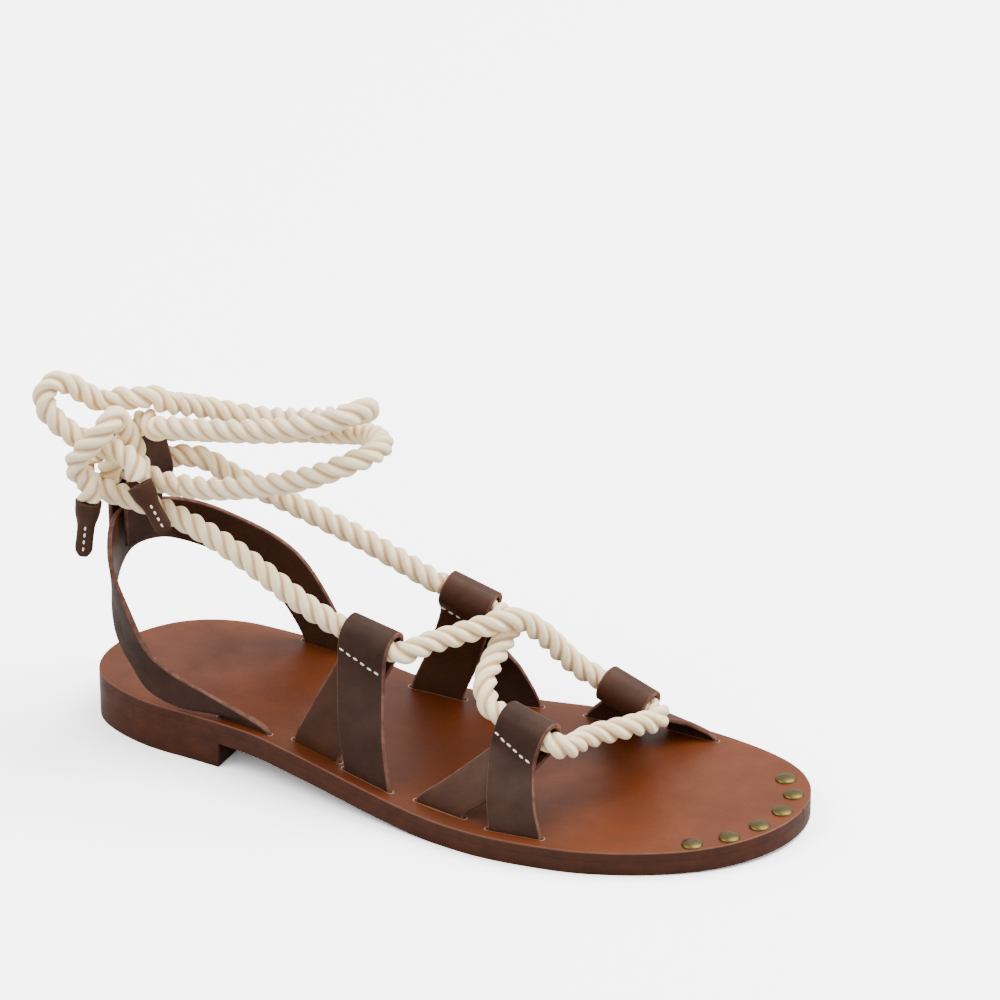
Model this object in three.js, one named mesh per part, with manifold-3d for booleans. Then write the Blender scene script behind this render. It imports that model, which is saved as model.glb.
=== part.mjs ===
// Flat lace-up sandal for the right foot: a leather outsole on a low stacked heel, a leather
// insole with slits, four folded strap loops that carry one thick cotton rope, a heel strap with
// a tab, and the rope, which crosses over the instep, winds round the ankle and ends in a bow.
// Millimetres. +X points to the toe, +Y to the inner (medial) side, +Z up. The origin is on the
// floor, halfway along the sole and halfway across it at its widest.

import * as THREE from 'three';
import { mergeVertices } from 'three/addons/utils/BufferGeometryUtils.js';
import Module from 'manifold-3d';

const wasm = await Module();
wasm.setup();

// Sole
const LENGTH = 250;            // outsole, heel to toe
const BALL_WIDTH = 95;         // outsole across the ball of the foot
const HEEL_WIDTH = 66;         // outsole across the heel
const OUTSOLE = 5;             // outsole leather
const INSOLE = 2.8;            // insole leather
const HEEL_LIFT = 9;           // height of the stacked heel
const HEEL_LENGTH = 58;        // back of the heel to its breast
const TOE_SPRING = 1.6;        // rise of the outsole under the toes
const INSOLE_SETBACK = 0.4;    // trimmed off the insole all round

// Straps
const STRAP = 1.8;             // strap leather
const LOOP_WIDTH = 18;         // strap loop, along the rope that it carries
const LEG_WIDTH = 18;          // strap leg where it enters its slit
const SLIT_INSET = 6.5;        // slit of a strap loop to the edge of the sole
const HEEL_SLIT_INSET = 3.6;   // slit of the heel strap to the edge of the sole
const HEEL_SLIT_START = 57;    // back of the heel to the start of the heel strap's slits
const HEEL_STRAP_WIDTH = 20;   // heel strap where it enters its slits
const HEEL_STRAP_HEIGHT = 75;  // top of the heel strap behind the ankle, above the floor
const INSTEP_HEIGHT = 57;       // middle of the rope where it crosses over the instep
const TAB_WIDTH = 18;          // tab at the back, across
const TAB_RISE = 27;           // top of the tab above the heel strap
const SLOT_ROOM = 0.5;         // clearance between a strap and the sides of its slit

// Rope and rivets
const ROPE = 8;                // rope diameter
const ROPE_ROOM = 0.5;         // clearance between the rope and the leather round it
const RIVET_HEAD = 7;          // rivet head diameter
const RIVET_DOME = 1.1;        // rivet head height
const RIVET_SHANK = 2.6;       // rivet shank diameter
const RIVET_GRIP = 3;          // depth of the shank in the outsole

const FIT = 0.3;               // gap between pieces that touch
const STATIONS = 56;           // cross sections along a layer of the sole
const ROPE_SIDES = 8;

const { clamp, degToRad } = THREE.MathUtils;
const vec = (x, y, z) => new THREE.Vector3(x, y, z);

// Outline of the sole
// A row says where it is as a share of LENGTH, the middle of the sole there as a share of
// BALL_WIDTH (plus is the inner side), and the half width, before the ends are rounded, as a
// share of half the heel's or half the ball's width.
const SOLE_ROWS = [
  { at: 0.00, middle: -0.050, half: 1.080, of: HEEL_WIDTH },
  { at: 0.06, middle: -0.012, half: 1.020, of: HEEL_WIDTH },
  { at: 0.12, middle: 0.000, half: 1.000, of: HEEL_WIDTH },
  { at: 0.18, middle: 0.000, half: 1.000, of: HEEL_WIDTH },
  { at: 0.27, middle: -0.014, half: 1.015, of: HEEL_WIDTH },
  { at: 0.34, middle: -0.040, half: 1.035, of: HEEL_WIDTH },
  { at: 0.40, middle: -0.055, half: 1.060, of: HEEL_WIDTH },
  { at: 0.48, middle: -0.044, half: 0.815, of: BALL_WIDTH },
  { at: 0.57, middle: -0.017, half: 0.930, of: BALL_WIDTH },
  { at: 0.65, middle: -0.001, half: 0.990, of: BALL_WIDTH },
  { at: 0.74, middle: 0.022, half: 0.980, of: BALL_WIDTH },
  { at: 0.83, middle: 0.054, half: 0.935, of: BALL_WIDTH },
  { at: 0.90, middle: 0.082, half: 0.925, of: BALL_WIDTH },
  { at: 1.00, middle: 0.128, half: 0.960, of: BALL_WIDTH },
];
const HEEL_ROUND = 0.16;       // share of LENGTH over which the back of the heel is rounded
const TOE_ROUND = 0.24;        // share of LENGTH over which the toe is rounded
const SHANK_START = 0.27;      // share of LENGTH where the sole leaves the heel's height
const TREAD_START = 0.60;      // share of LENGTH where it reaches the floor
const SPRING_START = 0.80;     // share of LENGTH where the toe starts to rise

// Smooth curve through one column of a table, by cubic pieces with central slopes.
function along(rows, at, value) {
  const last = rows.length - 1;
  let i = 0;
  while (i < last - 1 && at > rows[i + 1].at) i += 1;
  const slope = (k) => {
    const a = rows[Math.max(k - 1, 0)];
    const b = rows[Math.min(k + 1, last)];
    return (value(b) - value(a)) / (b.at - a.at);
  };
  const span = rows[i + 1].at - rows[i].at;
  const t = clamp((at - rows[i].at) / span, 0, 1);
  const t2 = t * t;
  const t3 = t2 * t;
  return (2 * t3 - 3 * t2 + 1) * value(rows[i]) + (t3 - 2 * t2 + t) * span * slope(i)
    + (3 * t2 - 2 * t3) * value(rows[i + 1]) + (t3 - t2) * span * slope(i + 1);
}

const middleAt = (at) => along(SOLE_ROWS, at, (row) => row.middle * BALL_WIDTH);
const halfAt = (at) => along(SOLE_ROWS, at, (row) => row.half * row.of / 2);

// Both ends of the outline close as quarter ellipses.
function rounding(at) {
  const heel = Math.max(0, 1 - at / HEEL_ROUND);
  const toe = Math.max(0, (at - 1 + TOE_ROUND) / TOE_ROUND);
  return Math.sqrt(Math.max(0, 1 - heel * heel)) * Math.sqrt(Math.max(0, 1 - toe * toe));
}

// Edge of the sole on one side, -1 outer and +1 inner.
const edgeY = (at, side) => middleAt(at) + side * halfAt(at) * rounding(at);

const xOf = (at) => LENGTH * (at - 0.5);
const shareOf = (x) => clamp(x / LENGTH + 0.5, 0, 1);

// Heights above the floor
function underside(x) {
  const at = shareOf(x);
  const down = clamp((at - SHANK_START) / (TREAD_START - SHANK_START), 0, 1);
  const rise = Math.max(0, (at - SPRING_START) / (1 - SPRING_START));
  return HEEL_LIFT * (1 - down * down * (3 - 2 * down)) + TOE_SPRING * rise * rise;
}
const outsoleTop = (x) => underside(x) + OUTSOLE;
const insoleBottom = (x) => outsoleTop(x) + FIT;
const insoleTop = (x) => insoleBottom(x) + INSOLE;

// Mesh building
// Turns a closed geometry inside out if its volume comes out negative.
function outward(geometry) {
  const p = geometry.attributes.position;
  const index = geometry.index.array;
  const a = vec(0, 0, 0);
  const b = vec(0, 0, 0);
  const c = vec(0, 0, 0);
  let volume = 0;
  for (let i = 0; i < index.length; i += 3) {
    a.fromBufferAttribute(p, index[i]);
    b.fromBufferAttribute(p, index[i + 1]);
    c.fromBufferAttribute(p, index[i + 2]);
    volume += a.dot(b.cross(c));
  }
  if (volume < 0) index.reverse();
  return geometry;
}

// Closed geometry from rings of equal length, each joined to the next, with flat ends.
function skin(rings) {
  const size = rings[0].length;
  const index = [];
  for (let r = 0; r < rings.length - 1; r += 1) {
    for (let k = 0; k < size; k += 1) {
      const a = r * size + k;
      const b = r * size + (k + 1) % size;
      index.push(a, b, a + size, b, b + size, a + size);
    }
  }
  const end = (rings.length - 1) * size;
  for (let k = 1; k < size - 1; k += 1) {
    index.push(0, k + 1, k);
    index.push(end, end + k, end + k + 1);
  }
  const geometry = new THREE.BufferGeometry();
  const positions = rings.flat().flatMap((p) => [p.x, p.y, p.z]);
  geometry.setAttribute('position', new THREE.Float32BufferAttribute(positions, 3));
  geometry.setIndex(new THREE.BufferAttribute(new Uint32Array(index), 1));
  return outward(geometry);
}

// A solid for cutting and joining, from a closed geometry.
function solid(geometry) {
  const bare = geometry.clone();
  bare.deleteAttribute('normal');
  bare.deleteAttribute('uv');
  const merged = mergeVertices(bare, 1e-4);
  return new wasm.Manifold(new wasm.Mesh({
    numProp: 3,
    vertProperties: new Float32Array(merged.attributes.position.array),
    triVerts: new Uint32Array(merged.index.array),
  }));
}

function geometryOf(body) {
  const mesh = body.getMesh();
  const geometry = new THREE.BufferGeometry();
  geometry.setAttribute('position', new THREE.BufferAttribute(mesh.vertProperties, 3));
  geometry.setIndex(new THREE.BufferAttribute(mesh.triVerts, 1));
  return geometry;
}

const cutAll = (geometry, tools) => geometryOf(
  tools.reduce((body, tool) => body.subtract(solid(tool)), solid(geometry)),
);

// One layer of the sole, from one share of the length to another: a rectangle at each station,
// as wide as the outline, between two heights. Stations crowd towards the rounded ends.
function layer(from, to, setback, bottom, top) {
  const tip = 0.0004;
  const rings = [];
  for (let i = 0; i <= STATIONS; i += 1) {
    const t = (1 - Math.cos(Math.PI * i / STATIONS)) / 2;
    const at = clamp(from + (to - from) * t, tip, 1 - tip);
    const x = xOf(at) * (1 - 2 * setback / LENGTH);
    const inner = edgeY(at, 1) - setback * rounding(at);
    const outer = edgeY(at, -1) + setback * rounding(at);
    rings.push([
      vec(x, outer, bottom(x)), vec(x, inner, bottom(x)),
      vec(x, inner, top(x)), vec(x, outer, top(x)),
    ]);
  }
  return skin(rings);
}

// A strip of leather between two smooth edges through the rows, with the strap's thickness.
// A row is [one edge, other edge], and each gap between rows is drawn in a number of steps.
function strip(rows, steps) {
  const one = new THREE.CatmullRomCurve3(rows.map((row) => row[0]));
  const other = new THREE.CatmullRomCurve3(rows.map((row) => row[1]));
  const count = (rows.length - 1) * steps;
  const near = 0.2 / count;
  const middle = (t) => one.getPoint(t).add(other.getPoint(t));
  const rings = [];
  for (let i = 0; i <= count; i += 1) {
    const t = i / count;
    const a = one.getPoint(t);
    const b = other.getPoint(t);
    const run = middle(Math.min(t + near, 1)).sub(middle(Math.max(t - near, 0)));
    const face = run.cross(b.clone().sub(a)).setLength(STRAP / 2);
    rings.push([
      a.clone().sub(face), b.clone().sub(face), b.clone().add(face), a.clone().add(face),
    ]);
  }
  return skin(rings);
}

// Strap loops
// Each loop is one strap: its outer leg rises from the front slit, folds over the rope and comes
// down inside to the rear slit. Slits and tube are shares of LENGTH, "across" is the tube's place
// across the sole as a share of BALL_WIDTH, and up its height as a share of INSTEP_HEIGHT. The
// tube's front end lies lower by dip and further out by splay, in degrees.
const LOOPS = [
  {
    name: 'strap_loop_outer_rear', side: -1, rear: 0.378, front: 0.464,
    tube: 0.436, across: -0.210, up: 0.945, dip: 10, splay: 3,
  },
  {
    name: 'strap_loop_outer_front', side: -1, rear: 0.573, front: 0.686,
    tube: 0.664, across: -0.205, up: 0.602, dip: 9, splay: 11,
  },
  {
    name: 'strap_loop_inner_rear', side: 1, rear: 0.442, front: 0.540,
    tube: 0.494, across: 0.247, up: 0.910, dip: 15, splay: 0,
  },
  {
    name: 'strap_loop_inner_front', side: 1, rear: 0.673, front: 0.785,
    tube: 0.726, across: 0.253, up: 0.510, dip: 15, splay: -8,
  },
];
const TUBE_RADIUS = ROPE / 2 + ROPE_ROOM + STRAP / 2;
const LAYER_OFFSET = (STRAP + FIT) / 2;
const SEAM_DROP = 1.75 * TUBE_RADIUS;  // from the rope's middle down to the seam below it
const KNEE = 0.42;             // share of a leg's height where it bows most
const LEG_BULGE = 2.2;         // how far it bows outwards
const FOLD_STEP = 30;          // degrees between rows round the fold
const LOOP_STEPS = 3;          // facets between two rows of a loop
const HEEL_STRAP_STEPS = 4;    // and of the heel strap

// Middle of a slit on the insole and the direction along it, parallel to the sole's edge.
function slit(at, side, inset) {
  const reach = 0.02;
  const point = (s) => vec(xOf(s), edgeY(s, side) - side * inset, 0);
  const direction = point(at + reach).sub(point(at - reach)).normalize();
  return { middle: point(at), direction };
}

// The two ends of a leg's edge line in its slit, at a height given by a function of x.
function slitEnds(place, width, height) {
  return [-width / 2, width / 2].map((reach) => {
    const p = place.middle.clone().addScaledVector(place.direction, reach);
    return p.setZ(height(p.x));
  });
}

function slitOffset(place, side, amount) {
  const out = vec(place.direction.y, -place.direction.x, 0);
  if (out.y * side < 0) out.negate();
  return { ...place, middle: place.middle.clone().addScaledVector(out, amount) };
}

const legPlaces = (loop) => ({
  outer: slitOffset(slit(loop.front, loop.side, SLIT_INSET), loop.side, LAYER_OFFSET),
  inner: slitOffset(slit(loop.rear, loop.side, SLIT_INSET), loop.side, -LAYER_OFFSET),
});

// Middle and direction of the tube that a loop makes round the rope.
function tubeOf(loop) {
  const dip = degToRad(loop.dip);
  const splay = degToRad(loop.splay);
  return {
    centre: vec(xOf(loop.tube), loop.across * BALL_WIDTH, loop.up * INSTEP_HEIGHT),
    axis: vec(
      Math.cos(dip) * Math.cos(splay),
      loop.side * Math.cos(dip) * Math.sin(splay),
      -Math.sin(dip),
    ),
  };
}

function loopGeometry(loop) {
  const { outer, inner } = legPlaces(loop);
  const { centre, axis } = tubeOf(loop);
  const base = outer.middle.clone().add(inner.middle).multiplyScalar(0.5);
  const down = base.setZ(insoleTop(centre.x)).sub(centre);
  down.addScaledVector(axis, -down.dot(axis)).normalize();
  const out = axis.clone().cross(down);
  if (out.y * loop.side < 0) out.negate();

  const across = (middle) => [-LOOP_WIDTH / 2, LOOP_WIDTH / 2].map(
    (reach) => middle.clone().addScaledVector(axis, reach),
  );
  const leg = (place, face) => {
    const foot = slitEnds(place, LEG_WIDTH, (x) => insoleBottom(x) + FIT);
    const mouth = slitEnds(place, LEG_WIDTH, (x) => insoleTop(x) + STRAP / 2);
    const seam = across(
      centre.clone().addScaledVector(down, SEAM_DROP).addScaledVector(out, face * LAYER_OFFSET),
    );
    const knee = mouth.map((p, k) => p.clone().lerp(seam[k], KNEE)
      .addScaledVector(vec(0, loop.side, 0), LEG_BULGE));
    return [foot, mouth, knee, seam];
  };
  const fold = [];
  for (let angle = -FOLD_STEP; angle <= 180 + FOLD_STEP; angle += FOLD_STEP) {
    const turn = degToRad(angle);
    fold.push(across(
      centre.clone().addScaledVector(out, TUBE_RADIUS * Math.cos(turn))
        .addScaledVector(down, -TUBE_RADIUS * Math.sin(turn)),
    ));
  }
  return strip([...leg(outer, 1), ...fold, ...leg(inner, -1).reverse()], LOOP_STEPS);
}

// Heel strap
// From the outer slit, back and up round the heel, to the inner slit. A row gives the strap's
// lower and upper edge: x as a share of LENGTH from the middle of the sole, y as a share of half
// BALL_WIDTH, z as a share of HEEL_STRAP_HEIGHT.
const HEEL_STRAP_ROWS = [
  { low: [-0.328, -0.684, 0.248], top: [-0.274, -0.661, 0.331] },
  { low: [-0.374, -0.678, 0.291], top: [-0.338, -0.661, 0.403] },
  { low: [-0.408, -0.579, 0.353], top: [-0.372, -0.684, 0.491] },
  { low: [-0.442, -0.495, 0.480], top: [-0.400, -0.684, 0.660] },
  { low: [-0.464, -0.305, 0.653], top: [-0.442, -0.547, 0.840] },
  { low: [-0.468, -0.063, 0.747], top: [-0.466, -0.274, 0.973] },
  { low: [-0.458, 0.189, 0.740], top: [-0.462, 0.021, 0.973] },
  { low: [-0.442, 0.442, 0.673], top: [-0.428, 0.326, 0.924] },
  { low: [-0.380, 0.600, 0.573], top: [-0.376, 0.526, 0.833] },
  { low: [-0.316, 0.655, 0.420], top: [-0.278, 0.621, 0.664] },
];
const onStrap = ([x, y, z]) => vec(x * LENGTH, y * BALL_WIDTH / 2, z * HEEL_STRAP_HEIGHT);
const heelSlit = (side) => slit(
  (HEEL_SLIT_START + HEEL_STRAP_WIDTH / 2) / LENGTH, side, HEEL_SLIT_INSET,
);

function heelStrapGeometry() {
  const ends = (side) => [
    slitEnds(heelSlit(side), HEEL_STRAP_WIDTH, (x) => insoleBottom(x) + FIT),
    slitEnds(heelSlit(side), HEEL_STRAP_WIDTH, (x) => insoleTop(x) + STRAP / 2),
  ];
  const round = HEEL_STRAP_ROWS.map((row) => [onStrap(row.low), onStrap(row.top)]);
  return strip([...ends(-1), ...round, ...ends(1).reverse()], HEEL_STRAP_STEPS);
}

// Tab
// One strip, sewn to both faces of the heel strap, that folds over the two strands of rope which
// pass behind the ankle. It is drawn about a middle plane that turns as it rises, from TAB_FOOT
// at the strap to TAB_HEAD at the rope. A row gives its height above the heel strap as a share of
// TAB_RISE, where its inner and outer walls stand off that plane as a share of TAB_WALL, and how
// far the plane has turned.
const TAB_WALL = ROPE / 2 + ROPE_ROOM + STRAP / 2;
const TAB_FOOT = { at: 0.0383, across: -0.010, turn: 80 };
const TAB_HEAD = { at: 0.0436, across: 0.004, turn: 60 };
const TAB_ROWS = [
  { up: -0.50, inner: 0.65, outer: -0.63, turned: 0.00 },
  { up: -0.20, inner: 0.65, outer: -0.63, turned: 0.00 },
  { up: 0.12, inner: 0.80, outer: -0.65, turned: 0.30 },
  { up: 0.33, inner: 1.22, outer: -0.62, turned: 0.90 },
  { up: 0.47, inner: 1.35, outer: -0.65, turned: 1.00 },
  { up: 0.78, inner: 0.65, outer: -1.35, turned: 1.00 },
];

// Both ends of the tab's width at one height, off its middle plane by a distance.
function tabRow(up, off, turned) {
  const mix = (key) => TAB_FOOT[key] + (TAB_HEAD[key] - TAB_FOOT[key]) * turned;
  const turn = degToRad(mix('turn'));
  const across = vec(Math.cos(turn), Math.sin(turn), 0);
  const inward = vec(Math.sin(turn), -Math.cos(turn), 0);
  const middle = vec(xOf(mix('at')), mix('across') * BALL_WIDTH, HEEL_STRAP_HEIGHT + up)
    .addScaledVector(inward, off);
  return [-TAB_WIDTH / 2, TAB_WIDTH / 2].map(
    (reach) => middle.clone().addScaledVector(across, reach),
  );
}

function tabGeometry() {
  const wall = (side) => TAB_ROWS.map(
    (row) => tabRow(row.up * TAB_RISE, row[side] * TAB_WALL, row.turned),
  );
  const top = TAB_ROWS[TAB_ROWS.length - 1];
  const middle = (top.inner + top.outer) / 2 * TAB_WALL;
  const fold = [];
  for (let angle = FOLD_STEP; angle < 180; angle += FOLD_STEP) {
    const turn = degToRad(angle);
    fold.push(tabRow(
      top.up * TAB_RISE + TAB_WALL * Math.sin(turn),
      middle + TAB_WALL * Math.cos(turn),
      top.turned,
    ));
  }
  return strip([...wall('inner'), ...fold, ...wall('outer').reverse()], LOOP_STEPS);
}

// Rivets
// Six domed rivets hold the insole down round the toe. A row gives the rivet's place along the
// sole as a share of LENGTH, and across it as a share of BALL_WIDTH.
const RIVETS = [
  { at: 0.904, across: -0.235 },
  { at: 0.941, across: -0.144 },
  { at: 0.965, across: -0.033 },
  { at: 0.977, across: 0.088 },
  { at: 0.973, across: 0.209 },
  { at: 0.947, across: 0.301 },
];
const RIVET_SEGMENTS = 20;
const DOME_RINGS = 4;

const rivetPlace = (row) => vec(xOf(row.at), row.across * BALL_WIDTH, 0);

function rivetGeometry(place) {
  const top = insoleTop(place.x + RIVET_HEAD / 2) + FIT;
  const profile = [new THREE.Vector2(0, outsoleTop(place.x) - RIVET_GRIP)];
  profile.push(new THREE.Vector2(RIVET_SHANK / 2, outsoleTop(place.x) - RIVET_GRIP));
  profile.push(new THREE.Vector2(RIVET_SHANK / 2, top));
  profile.push(new THREE.Vector2(RIVET_HEAD / 2, top));
  for (let i = 1; i < DOME_RINGS; i += 1) {
    const turn = Math.PI / 2 * i / DOME_RINGS;
    profile.push(new THREE.Vector2(
      RIVET_HEAD / 2 * Math.cos(turn),
      top + RIVET_DOME * Math.sin(turn),
    ));
  }
  profile.push(new THREE.Vector2(0, top + RIVET_DOME));
  const geometry = new THREE.LatheGeometry(profile, RIVET_SEGMENTS);
  geometry.rotateX(Math.PI / 2);
  return geometry.translate(place.x, place.y, 0);
}

// Sole
const BORE = RIVET_SHANK / 2 + FIT;
function rivetHole(place) {
  const depth = RIVET_GRIP + 2 * FIT + INSOLE + STRAP;
  const hole = new THREE.CylinderGeometry(BORE, BORE, depth, RIVET_SEGMENTS);
  hole.rotateX(Math.PI / 2);
  return hole.translate(place.x, place.y, outsoleTop(place.x) - RIVET_GRIP - FIT + depth / 2);
}

function slotTool(place, width) {
  const tool = new THREE.BoxGeometry(
    width + 2 * SLOT_ROOM, STRAP + 2 * SLOT_ROOM, INSOLE * 3,
  );
  tool.rotateZ(Math.atan2(place.direction.y, place.direction.x));
  return tool.translate(place.middle.x, place.middle.y, insoleTop(place.middle.x) - INSOLE / 2);
}

const rivetPlaces = RIVETS.map(rivetPlace);
const rivetHoles = rivetPlaces.map(rivetHole);
const slots = LOOPS.flatMap((loop) => Object.values(legPlaces(loop)))
  .map((place) => slotTool(place, LEG_WIDTH))
  .concat([-1, 1].map((side) => slotTool(heelSlit(side), HEEL_STRAP_WIDTH)));

const outsole = cutAll(layer(0, 1, 0, underside, outsoleTop), rivetHoles);
const insole = cutAll(
  layer(0, 1, INSOLE_SETBACK, insoleBottom, insoleTop),
  [...rivetHoles, ...slots],
);
const heel = layer(0, HEEL_LENGTH / LENGTH, 0, () => 0, (x) => underside(x) - FIT);

// Rope
// Rope between two strap loops, over the instep. x is a share of LENGTH, y of BALL_WIDTH and z of
// INSTEP_HEIGHT. The first list crosses over the third.
const OVER = [
  [0.007, -0.126, 0.935], [0.029, -0.053, 0.945], [0.053, 0.011, 0.97],
  [0.074, 0.058, 0.995], [0.089, 0.095, 0.995], [0.103, 0.137, 0.94], [0.122, 0.179, 0.84],
  [0.139, 0.211, 0.73], [0.158, 0.242, 0.63],
];
const TOE_SIDE = [
  [0.278, 0.211, 0.47], [0.279, 0.168, 0.47], [0.271, 0.116, 0.49], [0.259, 0.042, 0.51],
  [0.236, -0.032, 0.51], [0.222, -0.105, 0.515], [0.220, -0.165, 0.525], [0.214, -0.215, 0.55],
];
const UNDER = [
  [0.099, -0.163, 0.66], [0.084, -0.116, 0.73], [0.078, -0.053, 0.78], [0.076, 0.021, 0.825],
  [0.076, 0.074, 0.86], [0.074, 0.126, 0.875], [0.067, 0.168, 0.88], [0.052, 0.204, 0.885],
];
const onInstep = ([x, y, z]) => vec(x * LENGTH, y * BALL_WIDTH, z * INSTEP_HEIGHT);

// Points that lead the rope straight through a loop's tube, at these distances from its middle.
const through = (loop, reaches) => {
  const { centre, axis } = tubeOf(loop);
  return reaches.map((reach) => centre.clone().addScaledVector(axis, reach));
};

// Rope along a smooth curve through points, in facets of one length.
function rope(points, facet) {
  const path = new THREE.CatmullRomCurve3(points);
  const turns = Array.from({ length: ROPE_SIDES }, (_, k) => 2 * Math.PI * k / ROPE_SIDES);
  const section = new THREE.Shape(turns.map((turn) => new THREE.Vector2(
    ROPE / 2 * Math.cos(turn),
    ROPE / 2 * Math.sin(turn),
  )));
  return new THREE.ExtrudeGeometry(section, {
    steps: Math.round(path.getLength() / facet), bevelEnabled: false, extrudePath: path,
  });
}

const END = LOOP_WIDTH / 2 + 0.5;
const IN = LOOP_WIDTH * 0.28;
const LEAD = LOOP_WIDTH * 0.62;
const [outerRear, outerFront, innerRear, innerFront] = LOOPS;
const LACING_FACET = 3.5;
const lacing = rope([
  ...through(outerRear, [-END, -IN, IN, LEAD]),
  ...OVER.map(onInstep),
  ...through(innerFront, [-LEAD, -IN, IN, LEAD]),
  ...TOE_SIDE.map(onInstep),
  ...through(outerFront, [LEAD, IN, -IN, -LEAD]),
  ...UNDER.map(onInstep),
  ...through(innerRear, [LEAD, IN, -IN, -END]),
], LACING_FACET);

// Rope between the rear loops and the loose ends, in millimetres, along its middle. It is one
// rope, cut where two pieces meet inside the tab or the knot.
// From the outer rear loop up and round behind the ankle, into the tab above.
const SPAN_OUTER = [
  [-25.7, -19.4, 55.6], [-29.7, -19.2, 56.3], [-35.4, -20.6, 59.5], [-42.5, -22.0, 64.0],
  [-51.6, -23.0, 70.0], [-62.4, -23.5, 76.1], [-73.5, -23.5, 80.8], [-85.0, -23.0, 84.4],
  [-94.9, -22.0, 86.0], [-104.0, -21.6, 86.8], [-112.5, -21.2, 87.2], [-120.0, -20.0, 88.2],
  [-125.3, -17.2, 90.0], [-125.0, -12.0, 93.6], [-121.1, -8.0, 96.0], [-116.3, 0.4, 96.0],
];
// From the inner rear loop up and round behind the ankle, into the tab below.
const SPAN_INNER = [
  [-11.1, 23.5, 54.5], [-15.0, 23.5, 55.5], [-28.0, 24.0, 59.8], [-43.1, 24.0, 65.0],
  [-57.6, 23.0, 69.8], [-68.2, 21.5, 73.7], [-78.2, 19.0, 77.8], [-87.9, 16.0, 82.6],
  [-96.0, 13.3, 87.6], [-102.0, 12.0, 88.0], [-106.6, 9.5, 87.8], [-112.9, -1.4, 87.8],
];
// From the tab forwards round the shin, and back along the outer side.
const WINDING_LOWER = [
  [-116.1, 0.8, 96.0], [-110.4, 10.6, 96.0], [-106.0, 13.0, 96.4], [-100.0, 14.1, 97.0],
  [-91.0, 15.5, 98.0], [-76.7, 18.7, 99.2], [-62.4, 20.7, 101.9], [-46.3, 17.1, 106.4],
  [-36.0, 14.1, 109.7], [-26.8, 7.0, 112.9], [-21.8, 0.0, 114.5], [-22.0, -8.0, 114.7],
  [-26.2, -14.0, 113.4], [-34.0, -17.5, 109.7], [-42.6, -19.5, 106.2], [-52.2, -20.5, 102.8],
  [-63.4, -20.5, 99.2], [-75.0, -20.3, 96.2], [-81.0, -20.1, 95.3], [-84.9, -20.0, 95.0],
];
// From the tab up, forwards along the outer side, round the shin and back.
const WINDING_UPPER = [
  [-113.1, -1.8, 87.8], [-117.5, -9.4, 87.8], [-117.8, -13.0, 89.4], [-115.4, -15.0, 93.8],
  [-112.4, -13.5, 99.5], [-109.8, -9.6, 105.0], [-104.7, -9.8, 110.4], [-97.2, -16.1, 111.3],
  [-92.0, -18.8, 114.4], [-85.6, -20.2, 115.9], [-74.0, -20.5, 117.9], [-62.8, -20.5, 120.0],
  [-52.0, -20.0, 122.5], [-42.4, -19.0, 125.1], [-33.7, -17.0, 127.8], [-27.8, -13.0, 129.6],
  [-25.4, -6.0, 129.2], [-26.4, -0.3, 126.8], [-31.3, 5.2, 122.4], [-38.0, 9.2, 118.4],
  [-47.1, 12.0, 113.8], [-59.5, 14.0, 109.8], [-71.9, 15.5, 106.8], [-83.3, 13.2, 107.1],
  [-92.9, 6.8, 110.4], [-97.5, -2.9, 114.9],
];
// From the upper winding over the knot, round the bow and down to a loose end.
const BOW = [
  [-97.7, -3.3, 115.1], [-99.2, -6.6, 116.6], [-101.7, -9.9, 119.6], [-105.9, -12.8, 119.3],
  [-111.3, -14.5, 118.9], [-116.1, -16.8, 117.8], [-120.1, -19.0, 119.7], [-124.2, -21.5, 123.2],
  [-128.0, -24.5, 125.5], [-130.8, -27.5, 124.4], [-131.2, -29.8, 120.6], [-128.7, -30.4, 116.2],
  [-124.8, -29.6, 112.4], [-120.4, -28.2, 109.0], [-115.9, -27.0, 107.3], [-111.1, -26.2, 106.2],
  [-105.2, -26.6, 105.8], [-99.5, -28.6, 105.0], [-96.8, -30.2, 102.3], [-95.7, -31.0, 99.6],
];
// From the lower winding round the knot and down to the other loose end.
const WRAP = [
  [-85.3, -20.0, 94.9], [-90.0, -19.9, 94.5], [-95.0, -20.0, 94.8], [-99.5, -19.6, 96.2],
  [-103.2, -18.8, 99.4], [-104.8, -18.0, 104.0], [-106.6, -18.6, 109.0], [-107.8, -21.0, 114.0],
  [-106.8, -26.0, 118.0], [-107.5, -31.7, 115.6], [-111.6, -35.6, 110.1], [-115.4, -36.4, 105.0],
  [-116.0, -35.6, 100.6], [-113.6, -34.2, 97.4], [-112.1, -34.6, 94.4], [-112.2, -35.2, 90.6],
];
const SPAN_FACET = 9;
const WINDING_FACET = 9;
const KNOT_FACET = 6;
const cord = (rows, facet) => rope(rows.map((row) => vec(...row)), facet);

// Leather tips
// A tip is a folded scrap of leather sewn over the end of the rope: round at its mouth, flat and
// narrow below. A row gives the share of its length, and its width and thickness.
const TIP_ROWS = [
  { at: 0.00, wide: 8.6, thick: 8.0 },
  { at: 0.22, wide: 8.0, thick: 7.0 },
  { at: 0.42, wide: 6.2, thick: 4.6 },
  { at: 0.90, wide: 5.6, thick: 3.6 },
  { at: 1.00, wide: 3.2, thick: 2.2 },
];
const TIP_SIDES = 12;
const TIPS = [
  { name: 'rope_tip_lower', from: vec(-112.3, -35.3, 90.0), to: vec(-114.0, -37.5, 70.5) },
  { name: 'rope_tip_upper', from: vec(-95.0, -31.4, 98.3), to: vec(-85.0, -32.2, 83.3) },
];
const TIP_FACE = vec(0.4, -0.8, 0.45);  // direction that a tip's flat side faces

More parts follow.
